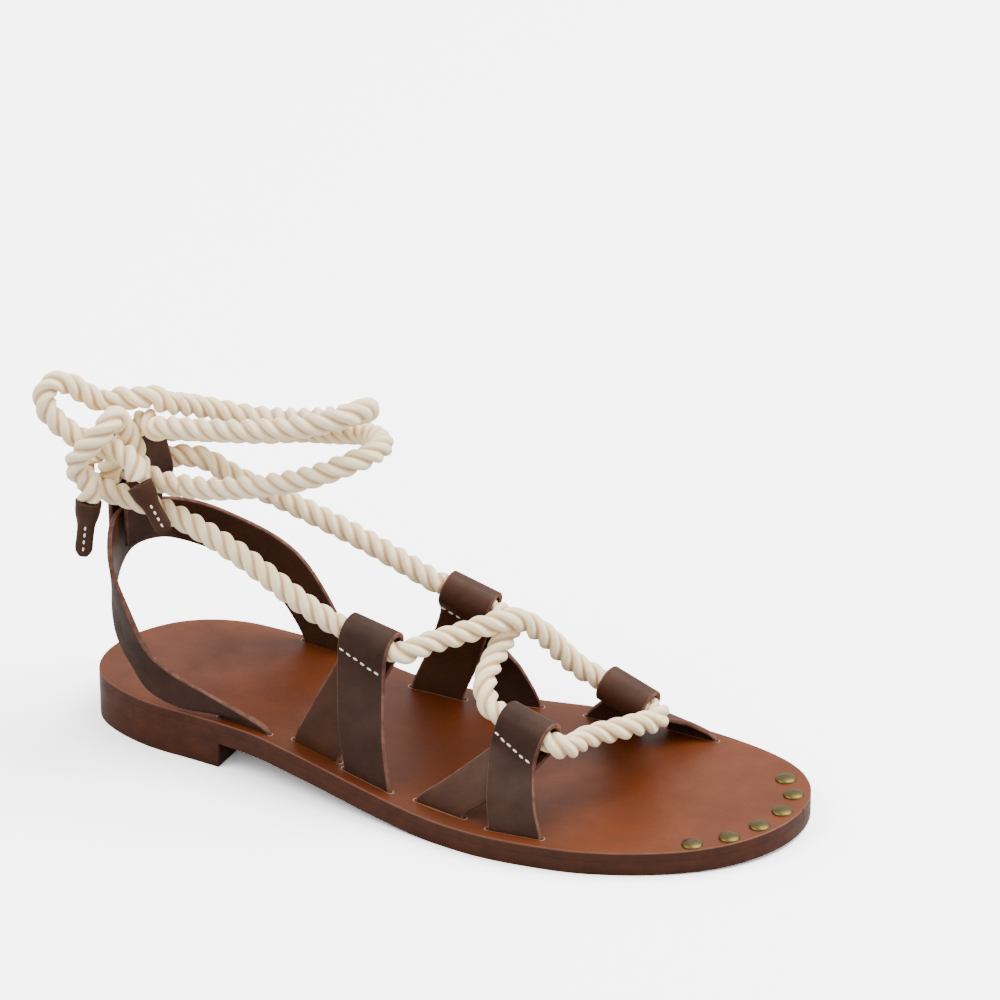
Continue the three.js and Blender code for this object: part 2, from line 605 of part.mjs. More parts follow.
function tipGeometry(tip) {
  const run = tip.to.clone().sub(tip.from);
  const wide = run.clone().cross(TIP_FACE).normalize();
  const thick = wide.clone().cross(run).normalize();
  return skin(TIP_ROWS.map((row) => {
    const ring = [];
    for (let k = 0; k < TIP_SIDES; k += 1) {
      const turn = 2 * Math.PI * k / TIP_SIDES;
      ring.push(tip.from.clone().addScaledVector(run, row.at)
        .addScaledVector(wide, row.wide / 2 * Math.cos(turn))
        .addScaledVector(thick, row.thick / 2 * Math.sin(turn)));
    }
    return ring;
  }));
}

// Assembly
const group = new THREE.Group();
group.name = 'rope_sandal';

function add(name, geometry, color, roughness, metalness = 0) {
  const bare = geometry.index ? geometry.clone() : geometry;
  bare.deleteAttribute('normal');
  bare.deleteAttribute('uv');
  const closed = mergeVertices(bare, 1e-4);
  closed.computeVertexNormals();
  const material = new THREE.MeshStandardMaterial({ color, roughness, metalness });
  material.name = name;
  const mesh = new THREE.Mesh(closed, material);
  mesh.name = name;
  group.add(mesh);
}

const PAINTED_EDGE = 0x5a382b;
const COGNAC = 0x9d5c38;
const DARK_LEATHER = 0x3f2c24;
const COTTON = 0xe9e2cd;
const OLD_BRASS = 0x94885c;

add('outsole', outsole, PAINTED_EDGE, 0.55);
add('heel', heel, PAINTED_EDGE, 0.55);
add('insole', insole, COGNAC, 0.5);
LOOPS.forEach((loop) => add(loop.name, loopGeometry(loop), DARK_LEATHER, 0.6));
add('heel_strap', heelStrapGeometry(), DARK_LEATHER, 0.6);
add('heel_tab', tabGeometry(), DARK_LEATHER, 0.6);
rivetPlaces.forEach((place, i) => add(`rivet_${i + 1}`, rivetGeometry(place), OLD_BRASS, 0.35, 1));
add('rope_lacing', lacing, COTTON, 0.9);
add('rope_span_outer', cord(SPAN_OUTER, SPAN_FACET), COTTON, 0.9);
add('rope_span_inner', cord(SPAN_INNER, SPAN_FACET), COTTON, 0.9);
add('rope_winding_lower', cord(WINDING_LOWER, WINDING_FACET), COTTON, 0.9);
add('rope_winding_upper', cord(WINDING_UPPER, WINDING_FACET), COTTON, 0.9);
add('rope_bow', cord(BOW, KNOT_FACET), COTTON, 0.9);
add('rope_wrap', cord(WRAP, KNOT_FACET), COTTON, 0.9);
TIPS.forEach((tip) => add(tip.name, tipGeometry(tip), DARK_LEATHER, 0.6));

export default group;
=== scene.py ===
# %% [markdown]
# # Rope sandal
# A flat leather sandal for the right foot. One thick cotton rope runs through four folded strap
# loops, crosses over the instep, passes a tab behind the heel, goes twice round the ankle and is
# tied in a bow on the outer side. The real one is cut and stitched from vegetable-tanned leather,
# so every leather piece here is a thin closed strip or plate with a rounded, painted or raw edge,
# and the rope is a twisted three-strand form and not a smooth tube with a pattern on it.
# Lengths are in metres. +X points to the toe, +Y to the inner side and +Z up.

import math

import bpy
import numpy as np
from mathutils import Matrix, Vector


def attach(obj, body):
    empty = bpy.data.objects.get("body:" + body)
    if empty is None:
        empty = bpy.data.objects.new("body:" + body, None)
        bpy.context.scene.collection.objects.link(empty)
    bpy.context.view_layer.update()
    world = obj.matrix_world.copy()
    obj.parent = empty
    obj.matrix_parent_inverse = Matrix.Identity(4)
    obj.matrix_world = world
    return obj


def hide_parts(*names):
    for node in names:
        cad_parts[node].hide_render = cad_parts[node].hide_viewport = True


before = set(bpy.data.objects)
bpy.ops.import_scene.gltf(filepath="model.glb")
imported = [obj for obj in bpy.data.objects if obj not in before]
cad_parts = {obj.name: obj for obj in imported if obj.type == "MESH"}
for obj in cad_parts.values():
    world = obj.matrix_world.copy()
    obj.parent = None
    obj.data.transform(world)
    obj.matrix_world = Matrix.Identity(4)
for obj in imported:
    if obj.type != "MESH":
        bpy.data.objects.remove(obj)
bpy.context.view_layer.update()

MM = 0.001


def linear(code):
    """A colour written as #rrggbb, from sRGB to linear: c / 12.92 where c is up to 0.04045, and
    ((c + 0.055) / 1.055) ^ 2.4 above that. Alpha is 1."""
    c = np.array([int(code[i:i + 2], 16) for i in (1, 3, 5)]) / 255
    low = c / 12.92
    high = ((c + 0.055) / 1.055) ** 2.4
    return (*np.where(c <= 0.04045, low, high).tolist(), 1.0)


# %% [markdown]
# ## Meshes from arrays
# Every piece is a closed mesh whose points come from one array of rings, each ring the same
# number of points, joined into quads and closed by a flat face at each end.

# %% Mesh helpers
def ring_faces(rings, size):
    """Quads between neighbouring rings, then one flat face at each end."""
    r, k = np.meshgrid(np.arange(rings - 1), np.arange(size), indexing="ij")
    a = r * size + k
    b = r * size + (k + 1) % size
    quads = np.stack([a, b, b + size, a + size], axis=-1).reshape(-1, 4)
    first = list(range(size))[::-1]
    last = list(range((rings - 1) * size, rings * size))
    return quads, [first, last]


def volume(points, quads):
    """Signed volume of the quads: the sum of a . (b x c) / 6 over their triangles."""
    a, b, c, d = (points[quads[:, i]] for i in range(4))
    return ((a * np.cross(b, c)).sum() + (a * np.cross(c, d)).sum()) / 6


def outward(points, quads, ends):
    """The faces of one closed form, turned round where they would face inwards."""
    if volume(points, quads) < 0:
        quads = quads[:, ::-1]
        ends = [end[::-1] for end in ends]
    return quads.tolist() + ends


def mesh_object(name, points, faces, materials, smooth):
    """An object of the scene, at the origin, with these points, faces and materials."""
    mesh = bpy.data.meshes.new(name)
    mesh.from_pydata(points.tolist(), [], faces)
    for material in materials:
        mesh.materials.append(material)
    mesh.polygons.foreach_set("use_smooth", np.full(len(mesh.polygons), smooth))
    made = bpy.data.objects.new(name, mesh)
    bpy.context.scene.collection.objects.link(made)
    return made


def loft(name, rings, materials, uv=None, part=None):
    """A closed mesh from an array (rings, size, 3). uv is (rings, size, 2) and part gives each
    place round the ring the index of its material."""
    count, size = rings.shape[:2]
    points = rings.reshape(-1, 3)
    made = mesh_object(name, points, outward(points, *ring_faces(count, size)), materials, True)
    mesh = made.data
    if part is not None:
        index = np.concatenate([np.tile(part, count - 1), [part[0], part[0]]])
        mesh.polygons.foreach_set("material_index", index.astype(np.int32))
    if uv is not None:
        layer = mesh.uv_layers.new(name="UVMap")
        corner = np.zeros(len(mesh.loops), np.int32)
        mesh.loops.foreach_get("vertex_index", corner)
        layer.data.foreach_set("uv", uv.reshape(-1, 2)[corner].astype(np.float32).ravel())
    mesh.update()
    return made


def joined(name, forms, material, smooth):
    """One mesh from many small closed forms, each an array (rings, size, 3)."""
    faces, offset = [], 0
    for rings in forms:
        points = rings.reshape(-1, 3)
        for face in outward(points, *ring_faces(*rings.shape[:2])):
            faces.append([i + offset for i in face])
        offset += len(points)
    points = np.vstack([rings.reshape(-1, 3) for rings in forms])
    return mesh_object(name, points, faces, [material], smooth)


def place(piece, *nodes, slot=None):
    """The piece moves with the sandal and stands for these CAD nodes. slot is not used."""
    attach(piece, "root")
    if nodes:
        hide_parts(*nodes)
    return piece


# %% [markdown]
# ## Curves
# Rope and straps follow smooth curves through a few points. The centripetal Catmull-Rom curve
# is used because it passes through its points and makes no loops where they crowd together.

# %% Curve helpers
def smooth_curve(points, steps):
    """Centripetal Catmull-Rom curve through the points, with that many steps between two. The
    knots are spaced by the square root of the distance, and both ends are mirrored."""
    p = np.asarray(points, float)
    p = np.vstack([2 * p[0] - p[1], p, 2 * p[-1] - p[-2]])
    d = np.sqrt(np.linalg.norm(np.diff(p, axis=0), axis=1))[:, None]
    p0, p1, p2, p3 = p[:-3], p[1:-2], p[2:-1], p[3:]
    d0, d1, d2 = d[:-2], d[1:-1], d[2:]
    start = ((p1 - p0) / d0 - (p2 - p0) / (d0 + d1) + (p2 - p1) / d1) * d1
    end = ((p2 - p1) / d1 - (p3 - p1) / (d1 + d2) + (p3 - p2) / d2) * d1
    t = (np.arange(steps) / steps)[None, :, None]
    h = [2 * t**3 - 3 * t**2 + 1, t**3 - 2 * t**2 + t, 3 * t**2 - 2 * t**3, t**3 - t**2]
    line = h[0] * p1[:, None] + h[1] * start[:, None] + h[2] * p2[:, None] + h[3] * end[:, None]
    return np.vstack([line.reshape(-1, 3), p2[-1:]])


def lengths(line):
    """Distance along the line to each of its points."""
    return np.concatenate([[0], np.cumsum(np.linalg.norm(np.diff(line, axis=0), axis=1))])


def unit(v):
    """The vectors with their length made 1."""
    return v / np.maximum(np.linalg.norm(v, axis=-1, keepdims=True), 1e-12)


def sides(line):
    """Two directions across the line at each point, turning as little as they can: each one is
    the last one without its part along the new tangent."""
    tangent = unit(np.gradient(line, axis=0))
    across = np.zeros_like(line)
    last = np.cross(tangent[0], [0.0, 0.0, 1.0])
    for i, t in enumerate(tangent):
        last = unit(last - t * (last @ t))
        across[i] = last
    return across, np.cross(tangent, across)


# %% [markdown]
# ## Sizes
# The sole is 250 mm long. Everything else was measured in the photograph at that length.

# %% Driving sizes
LENGTH = 250 * MM
BALL_WIDTH = 95 * MM
HEEL_WIDTH = 66 * MM
OUTSOLE = 5 * MM
INSOLE = 2.8 * MM
HEEL_LIFT = 9 * MM
HEEL_LENGTH = 58 * MM
TOE_SPRING = 1.6 * MM
STRAP = 1.8 * MM
LOOP_WIDTH = 18 * MM
LEG_WIDTH = 18 * MM
SLIT_INSET = 6.5 * MM
HEEL_SLIT_INSET = 3.6 * MM
HEEL_SLIT_START = 57 * MM
HEEL_STRAP_WIDTH = 20 * MM
HEEL_STRAP_HEIGHT = 75 * MM
INSTEP_HEIGHT = 57 * MM
TAB_WIDTH = 18 * MM
TAB_RISE = 27 * MM
ROPE = 8 * MM
ROPE_ROOM = 0.5 * MM
RIVET_HEAD = 7 * MM
RIVET_DOME = 1.1 * MM
FIT = 0.3 * MM

# %% [markdown]
# ## Camera
# A long lens from the front, on the outer side, 27 degrees above the floor.

# %% Camera
VIEW_AZIMUTH = math.radians(26.298)
VIEW_ELEVATION = math.radians(27.0)
CAMERA_PLACE = (0.64969, -1.27195, 0.82739)
SENSOR_WIDTH = 36      # millimetres, as is the focal length
FOCAL_LENGTH = 177.77
# from the sandal to the camera
BACK = Vector((
    math.sin(VIEW_AZIMUTH) * math.cos(VIEW_ELEVATION),
    -math.cos(VIEW_AZIMUTH) * math.cos(VIEW_ELEVATION),
    math.sin(VIEW_ELEVATION),
))
lens = bpy.data.cameras.new("camera")
lens.sensor_width = SENSOR_WIDTH
lens.lens = FOCAL_LENGTH
lens.clip_start = 0.1
lens.clip_end = 20
camera = bpy.data.objects.new("camera", lens)
camera.location = CAMERA_PLACE
camera.rotation_mode = "QUATERNION"
camera.rotation_quaternion = (-BACK).to_track_quat("-Z", "Y")
bpy.context.scene.collection.objects.link(camera)
bpy.context.scene.camera = camera


# %% [markdown]
# ## Materials
# Each material reads the object's own coordinates in metres, so that a grain of 0.5 mm is 0.5 mm
# on every piece, or the strip's or rope's UV: metres along it, and the place across it.

# %% Material helpers
def node(tree, kind, inputs=(), **settings):
    """Adds a node with its settings. inputs gives a socket a value or another node's socket."""
    made = tree.nodes.new(kind)
    for key, value in settings.items():
        setattr(made, key, value)
    for key, value in dict(inputs).items():
        if isinstance(value, bpy.types.NodeSocket):
            tree.links.new(value, made.inputs[key])
        else:
            made.inputs[key].default_value = value
    return made


def new_material(name):
    """An empty material: its node tree and the Principled shader's node."""
    made = bpy.data.materials.new(name)
    made.use_nodes = True
    tree = made.node_tree
    tree.nodes.clear()
    shader = tree.nodes.new("ShaderNodeBsdfPrincipled")
    output = tree.nodes.new("ShaderNodeOutputMaterial")
    tree.links.new(shader.outputs["BSDF"], output.inputs["Surface"])
    return made, tree, shader


def here(tree):
    """The place on the object in its own coordinates, in metres."""
    return node(tree, "ShaderNodeTexCoord").outputs["Object"]


def noise(tree, size, detail, rough=0.55):
    """Soft noise whose lumps are about that many metres across, from 0 to 1."""
    return node(tree, "ShaderNodeTexNoise", {
        "Vector": here(tree), "Scale": 1 / size, "Detail": detail, "Roughness": rough,
    }).outputs["Fac"]


def combine(tree, operation, *values):
    """One Math node: the operation on one or two values."""
    return node(tree, "ShaderNodeMath", enumerate(values), operation=operation).outputs[0]


def blend_colours(tree, share, one, other):
    """one where share is 0 and other where it is 1. Each is a hex colour or a socket."""
    pick = [linear(c) if isinstance(c, str) else c for c in (one, other)]
    return node(tree, "ShaderNodeMix", {0: share, 6: pick[0], 7: pick[1]},
                data_type="RGBA").outputs[2]


def stretch(tree, value, low, high, to_low=0.0, to_high=1.0):
    """Maps low..high to to_low..to_high and clamps."""
    return node(tree, "ShaderNodeMapRange", {
        "Value": value, "From Min": low, "From Max": high, "To Min": to_low, "To Max": to_high,
    }).outputs["Result"]


def bump(tree, height, depth, normal=None):
    """Bump whose height of 1 stands for that many metres."""
    inputs = {"Height": height, "Distance": depth, "Strength": 1.0}
    if normal is not None:
        inputs["Normal"] = normal
    return node(tree, "ShaderNodeBump", inputs).outputs["Normal"]


def leather(name, light, dark, rough, grain, depth, patch=9 * MM, coat=0.0, gloss=0.3):
    """Leather: two shades in soft patches, pores of the grain's size as a fine bump of that
    depth, and a roughness that varies with the patches. coat is the weight of the wax on it and
    gloss the level of its own reflection."""
    made, tree, shader = new_material(name)
    patches = stretch(tree, noise(tree, patch, 4), 0.3, 0.7)
    fine = noise(tree, grain, 2, 0.6)
    pores = node(tree, "ShaderNodeTexVoronoi", {
        "Vector": here(tree), "Scale": 1 / (2 * grain),
    }).outputs["Distance"]
    tree.links.new(blend_colours(tree, patches, dark, light), shader.inputs["Base Color"])
    tree.links.new(stretch(tree, patches, 0, 1, rough + 0.06, rough - 0.06),
                   shader.inputs["Roughness"])
    normal = bump(tree, pores, depth)
    tree.links.new(bump(tree, fine, depth, normal), shader.inputs["Normal"])
    shader.inputs["IOR"].default_value = 1.5
    shader.inputs["Specular IOR Level"].default_value = gloss
    shader.inputs["Coat Weight"].default_value = coat
    shader.inputs["Coat Roughness"].default_value = 0.35
    return made


# %% Leathers
# Edge of sole and heel, dyed brown and burnished.
EDGE = leather("edge_leather", "#47200c", "#371808", rough=0.42, grain=0.7 * MM, depth=0.03 * MM,
               patch=6 * MM, coat=0.05, gloss=0.2)
# Painted highlight: a lighter colour on the bevel that the edge iron leaves round the insole,
# standing in for the shine of the burnished edge.
BEVEL_HIGHLIGHT = leather("edge_bevel_highlight", "#623824", "#522c18", rough=0.4, grain=0.5 * MM, depth=0.03 * MM)
# Grain side of the straps.
STRAP_OUT = leather("strap_leather", "#3f210f", "#31190b", rough=0.52, grain=0.45 * MM,
                    depth=0.03 * MM, gloss=0.2)
# Flesh side of the straps, dyed through and sanded.
STRAP_IN = leather("strap_back", "#351d11", "#28150a", rough=0.6, grain=0.5 * MM,
                   depth=0.03 * MM, gloss=0.2)
# Cut edge of the straps, left raw: paler and fibrous.
STRAP_RAW = leather("strap_edge", "#6b4639", "#45291c", rough=0.8, grain=0.4 * MM,
                    depth=0.06 * MM, patch=3 * MM)
# Vegetable-tanned insole leather, cognac, with a low gloss.
COGNAC = leather("insole_leather", "#5f2b0c", "#512306", rough=0.4, grain=0.5 * MM,
                 depth=0.02 * MM, patch=14 * MM, coat=0.05, gloss=0.2)


def paint_waist_shade(material, back, front, soft, amount):
    """Painted shade where lacing and loops shade the waist: the colour is multiplied by 1 -
    amount between back and front along X, with soft borders. The share is the product of two
    ramps."""
    tree = material.node_tree
    shader = next(n for n in tree.nodes if n.bl_idname == "ShaderNodeBsdfPrincipled")
    colour = shader.inputs["Base Color"].links[0].from_socket
    x = node(tree, "ShaderNodeSeparateXYZ", {"Vector": here(tree)}).outputs["X"]
    rise = stretch(tree, x, back - soft, back + soft)
    fall = stretch(tree, x, front - soft, front + soft, 1.0, 0.0)
    keep = stretch(tree, combine(tree, "MULTIPLY", rise, fall), 0, 1, 1.0, 1.0 - amount)
    darker = node(tree, "ShaderNodeVectorMath", {0: colour, "Scale": keep}, operation="SCALE")
    tree.links.new(darker.outputs["Vector"], shader.inputs["Base Color"])


# Painted shade on the insole under the lacing and loops, between the heel and the ball.
paint_waist_shade(COGNAC, back=-55 * MM, front=62 * MM, soft=28 * MM, amount=0.32)


# %% Cotton rope
YARNS = 9.0            # turns of the yarns' wave across a strand, in radians
YARN_LEAN = 420.0      # the same along the rope, in radians a metre
YARN_WOBBLE = 3.0      # how far noise bends the wave, in radians


def cotton():
    """Undyed cotton: u is metres along the rope and v runs from -1 to 1 across each strand.
    The grooves between the strands, near v = -1 and 1, are painted warmer and darker: painted
    shade. Fine yarns run almost along the rope, as the sine of YARNS v + YARN_LEAN u +
    YARN_WOBBLE noise."""
    made, tree, shader = new_material("cotton_rope")
    uv = node(tree, "ShaderNodeUVMap", uv_map="UVMap").outputs["UV"]
    u, v, flat = node(tree, "ShaderNodeSeparateXYZ", {"Vector": uv}).outputs
    groove_shade = stretch(tree, combine(tree, "ABSOLUTE", v), 0.55, 1.0)
    cream = blend_colours(tree, noise(tree, 9 * MM, 3), "#fde9c2", "#f6e0b2")
    # Painted shade: the grooves between the strands are blended towards a warm dark brown.
    tree.links.new(blend_colours(tree, groove_shade, cream, "#c08a4c"), shader.inputs["Base Color"])
    wave = combine(tree, "ADD", combine(tree, "MULTIPLY", v, YARNS),
                   combine(tree, "MULTIPLY", u, YARN_LEAN))
    wobble = combine(tree, "MULTIPLY", noise(tree, 1.5 * MM, 2), YARN_WOBBLE)
    wave = combine(tree, "SINE", combine(tree, "ADD", wave, wobble))
    normal = bump(tree, wave, 0.06 * MM)
    fuzz = bump(tree, noise(tree, 0.35 * MM, 2), 0.12 * MM, normal)
    tree.links.new(fuzz, shader.inputs["Normal"])
    shader.inputs["Roughness"].default_value = 0.85
    shader.inputs["Sheen Weight"].default_value = 0.25
    shader.inputs["Sheen Roughness"].default_value = 0.5
    shader.inputs["IOR"].default_value = 1.45
    return made


COTTON = cotton()


# %% Thread, slits and brass
def plain(name, colour, rough, metal=0.0):
    """A material that is the same all over."""
    made, tree, shader = new_material(name)
    shader.inputs["Base Color"].default_value = linear(colour)
    shader.inputs["Roughness"].default_value = rough
    shader.inputs["Metallic"].default_value = metal
    return made


# Waxed cotton thread.
THREAD = plain("thread", "#f2e8d6", 0.7)
# Painted shade: a dark plate that stands for the shadow inside a slit.
SLIT_SHADE = plain("slit", "#2a140a", 0.9)
# Undyed leather that shows at the end of a slit.
SLIT_END = plain("slit_end", "#94694f", 0.7)
# Antique brass.
BRASS = plain("old_brass", "#5a4e2c", 0.36, 1.0)

# %% [markdown]
# ## Sole
# The real sole is cut from two thicknesses of leather, glued, sanded flush and painted on the
# edge, with a stacked heel of 9 mm below. Its outline comes from a short table of shares of the
# length: where the middle lies across, and how wide the sole is there. Both ends are rounded as
# quarter ellipses, so the toe and heel stay smooth however few rows the table has.

# %% Outline of the sole
# share of LENGTH, middle as a share of BALL_WIDTH, half width as a share of half a width, width
SOLE_ROWS = np.array([
    [0.00, -0.050, 1.080, HEEL_WIDTH],
    [0.06, -0.012, 1.020, HEEL_WIDTH],
    [0.12, 0.000, 1.000, HEEL_WIDTH],
    [0.18, 0.000, 1.000, HEEL_WIDTH],
    [0.27, -0.014, 1.015, HEEL_WIDTH],
    [0.34, -0.040, 1.035, HEEL_WIDTH],
    [0.40, -0.055, 1.060, HEEL_WIDTH],
    [0.48, -0.044, 0.815, BALL_WIDTH],
    [0.57, -0.017, 0.930, BALL_WIDTH],
    [0.65, -0.001, 0.990, BALL_WIDTH],
    [0.74, 0.022, 0.980, BALL_WIDTH],
    [0.83, 0.054, 0.935, BALL_WIDTH],
    [0.90, 0.082, 0.925, BALL_WIDTH],
    [1.00, 0.128, 0.960, BALL_WIDTH],
])
# shares of LENGTH: the rounded back of the heel and the rounded toe
HEEL_ROUND = 0.16
TOE_ROUND = 0.24
# shares of LENGTH: where the sole leaves the heel, reaches the floor, and rises again
SHANK_START = 0.27
TREAD_START = 0.60
SPRING_START = 0.80


def along(at, value):
    """Smooth curve through one column of SOLE_ROWS: cubic pieces with central slopes."""
    x = SOLE_ROWS[:, 0]
    left = np.concatenate([[0], np.arange(len(x) - 1)])
    right = np.concatenate([np.arange(1, len(x)), [len(x) - 1]])
    slope = (value[right] - value[left]) / (x[right] - x[left])
    i = np.clip(np.searchsorted(x, at, side="right") - 1, 0, len(x) - 2)
    span = x[i + 1] - x[i]
    t = np.clip((at - x[i]) / span, 0, 1)
    return ((2 * t**3 - 3 * t**2 + 1) * value[i] + (t**3 - 2 * t**2 + t) * span * slope[i]
            + (3 * t**2 - 2 * t**3) * value[i + 1] + (t**3 - t**2) * span * slope[i + 1])


def middle_at(at):
    """Middle of the sole, across."""
    return along(at, SOLE_ROWS[:, 1] * BALL_WIDTH)


def half_at(at):
    """Half width of the sole before its ends are rounded."""
    return along(at, SOLE_ROWS[:, 2] * SOLE_ROWS[:, 3] / 2)


def rounding(at):
    """1 along the sole, falling to 0 at both ends as sqrt(1 - e^2) of the share e of the end."""
    heel = np.maximum(0, 1 - at / HEEL_ROUND)
    toe = np.maximum(0, (at - 1 + TOE_ROUND) / TOE_ROUND)
    return np.sqrt(np.maximum(0, 1 - heel**2)) * np.sqrt(np.maximum(0, 1 - toe**2))


def edge_y(at, side):
    """Edge of the sole, -1 on the outer side and 1 on the inner."""
    return middle_at(at) + side * half_at(at) * rounding(at)


def x_of(at):
    """Place along X of a share of LENGTH, counted from the heel."""
    return LENGTH * (at - 0.5)


def underside(x):
    """Height of the outsole's underside: HEEL_LIFT under the heel, down to the floor along
    3t^2 - 2t^3, and up again at the toe by TOE_SPRING t^2."""
    at = np.clip(x / LENGTH + 0.5, 0, 1)
    down = np.clip((at - SHANK_START) / (TREAD_START - SHANK_START), 0, 1)
    rise = np.maximum(0, (at - SPRING_START) / (1 - SPRING_START))
    return HEEL_LIFT * (1 - down**2 * (3 - 2 * down)) + TOE_SPRING * rise**2


def outsole_top(x):
    """Height of the outsole's upper face."""
    return underside(x) + OUTSOLE


def insole_bottom(x):
    """Height of the insole's lower face in the CAD, a gap above the outsole."""
    return outsole_top(x) + FIT


def insole_top(x):
    """Height of the insole's upper face, on which the foot stands."""
    return insole_bottom(x) + INSOLE


# %% Sole layers
STATIONS = 220
CORNER_POINTS = 6
TOP_POINTS = 24
# the lower corners of a layer, as a share of the upper ones
LOWER_CORNER = 0.08
# share of the length cut off at both ends, so that the last section is not a point
TIP_CUT = 0.000005


def plate(name, start, end, bottom, top, corner, side_material, others=()):
    """One layer of the sole. At each station the section is a rectangle whose upper corners are
    quarter circles: a point at angle a lies corner (1 - sin a) inside the edge. The lower ones
    are nearly sharp. others are the materials of the upper corners and of the top."""
    t = (1 - np.cos(np.pi * np.arange(STATIONS + 1) / STATIONS)) / 2
    at = np.clip(start + (end - start) * t, TIP_CUT, 1 - TIP_CUT)[:, None]
    n, m = CORNER_POINTS, TOP_POINTS
    a = np.linspace(0, np.pi / 2, n)
    high_in, high_up = corner * (1 - np.sin(a)), corner * (1 - np.cos(a))
    low_in, low_up = LOWER_CORNER * high_in, LOWER_CORNER * high_up
    across = np.linspace(1, -1, m + 2)[1:-1]
    flat = np.full(m, corner)
    # round the ring: lower inner corner, upper inner corner, top, and the same on the way back
    inset = np.concatenate([low_in, high_in[::-1], flat, high_in, low_in[::-1],
                            LOWER_CORNER * flat])
    side = np.concatenate([np.ones(2 * n), across, -np.ones(2 * n), -across])
    up = np.concatenate([low_up, -high_up[::-1], np.zeros(m), -high_up, low_up[::-1],
                         np.zeros(m)])
    on_top = np.concatenate([np.zeros(n), np.ones(n + m + n), np.zeros(n + m)])
    x = x_of(at) * (1 - 2 * inset / LENGTH)
    y = middle_at(at) + side * (half_at(at) - inset) * rounding(at)
    z = np.where(on_top > 0, top(x), bottom(x)) + up
    corner_at, top_at = (1, 2) if others else (0, 0)
    part = np.repeat([0, corner_at, top_at, corner_at, 0], [n, n - 1, m + 1, n - 1, n + m + 1])
    return loft(name, np.stack([x, y, z], axis=-1), [side_material, *others], None, part)


# The layers are glued: each reaches a little into the next, so that no gap shows between them.
outsole = plate("outsole_form", 0, 1, underside, outsole_top, 0.05 * MM, EDGE)
heel = plate("heel_form", 0, HEEL_LENGTH / LENGTH, lambda x: 0 * x,
             lambda x: underside(x) + 0.05 * MM, 0.1 * MM, EDGE)
# The insole's rounded upper corners carry the painted highlight of the bevel.
insole = plate("insole_form", 0, 1, lambda x: outsole_top(x) - 0.2 * MM, insole_top, 0.4 * MM,
               EDGE, (BEVEL_HIGHLIGHT, COGNAC))
place(outsole, "outsole", slot="edge_leather")
place(heel, "heel", slot="edge_leather")
place(insole, "insole", slot="insole_leather")


# %% [markdown]
# ## Straps
# A strap is a strip of leather between two smooth edge curves. Its section is flat with rounded
# edges, and grain, flesh side and cut edge have their own materials, as on real leather.

# %% Strips
STRIP_STEPS = 14       # rings of a strip between two rows of its table
FACE_POINTS = 12       # points across each face of the section
EDGE_POINTS = 4        # points round each of its four corners
EDGE_ROUND = 0.35      # radius of the corners as a share of the thickness


def strip(name, rows):
    """A leather strip whose edges are smooth curves through rows (n, 2, 3). The face normal is
    the cross product of the run and the line across. Round the section come the grain side, one
    rounded cut edge, the flesh side and the other edge, whose corner points at angle a lie
    r (1 - sin a) in from the edge and r (1 - cos a) below the face."""
    rows = np.asarray(rows, float)
    one, other = (smooth_curve(rows[:, side], STRIP_STEPS) for side in (0, 1))
    run = np.gradient((one + other) / 2, axis=0)
    face = unit(np.cross(run, other - one))
    width = np.linalg.norm(other - one, axis=1)[:, None]
    edge = unit(other - one)
    n, m = FACE_POINTS, EDGE_POINTS
    r = STRAP * EDGE_ROUND
    share = np.linspace(-1, 1, n)
    a = np.linspace(0, np.pi / 2, m + 1)[1:]
    turn_out, turn_up = r * np.sin(a), STRAP / 2 - r * (1 - np.cos(a))
    core = np.concatenate([share, np.ones(2 * m), -share, -np.ones(2 * m)])
    out = np.concatenate([np.zeros(n), turn_out, turn_out[::-1],
                          np.zeros(n), -turn_out, -turn_out[::-1]])
    up = np.concatenate([np.full(n, STRAP / 2), turn_up, -turn_up[::-1],
                         np.full(n, -STRAP / 2), -turn_up, turn_up[::-1]])
    part = np.repeat([0, 2, 1, 2], [n, 2 * m, n, 2 * m])
    across = core * (width / 2 - r) + out
    middle = ((one + other) / 2)[:, None]
    rings = middle + edge[:, None] * across[..., None] + face[:, None] * up[:, None]
    distance = lengths((one + other) / 2)[:, None] + 0 * across
    uv = np.stack([distance, across], axis=-1)
    return loft(name, rings, [STRAP_OUT, STRAP_IN, STRAP_RAW], uv, part)


def slit_at(at, side, inset):
    """Middle of a slit and the direction along it, parallel to the sole's edge: the direction
    from a point a little behind to a point a little in front."""
    little = 0.02

    def point(s):
        return np.array([x_of(s), edge_y(np.array(s), side) - side * inset, 0.0])
    return point(at), unit(point(at + little) - point(at - little))


def slit_ends(middle, direction, width, height):
    """Both ends of a strap in its slit, at a height that depends on x."""
    ends = np.stack([middle - direction * width / 2, middle + direction * width / 2])
    ends[:, 2] = height(ends[:, 0])
    return ends


def strap_foot(slit, width):
    """The two rows with which a strap starts: its end below the insole, and the slit's mouth."""
    return [
        slit_ends(*slit, width, lambda x: insole_bottom(x) + FIT),
        slit_ends(*slit, width, lambda x: insole_top(x) + STRAP / 2),
    ]


# %% [markdown]
# ## Strap loops
# Each loop is one strap: the outer leg comes out of the front slit, folds inwards over the rope,
# is stitched to itself just below it, and the inner leg fans back to the rear slit.

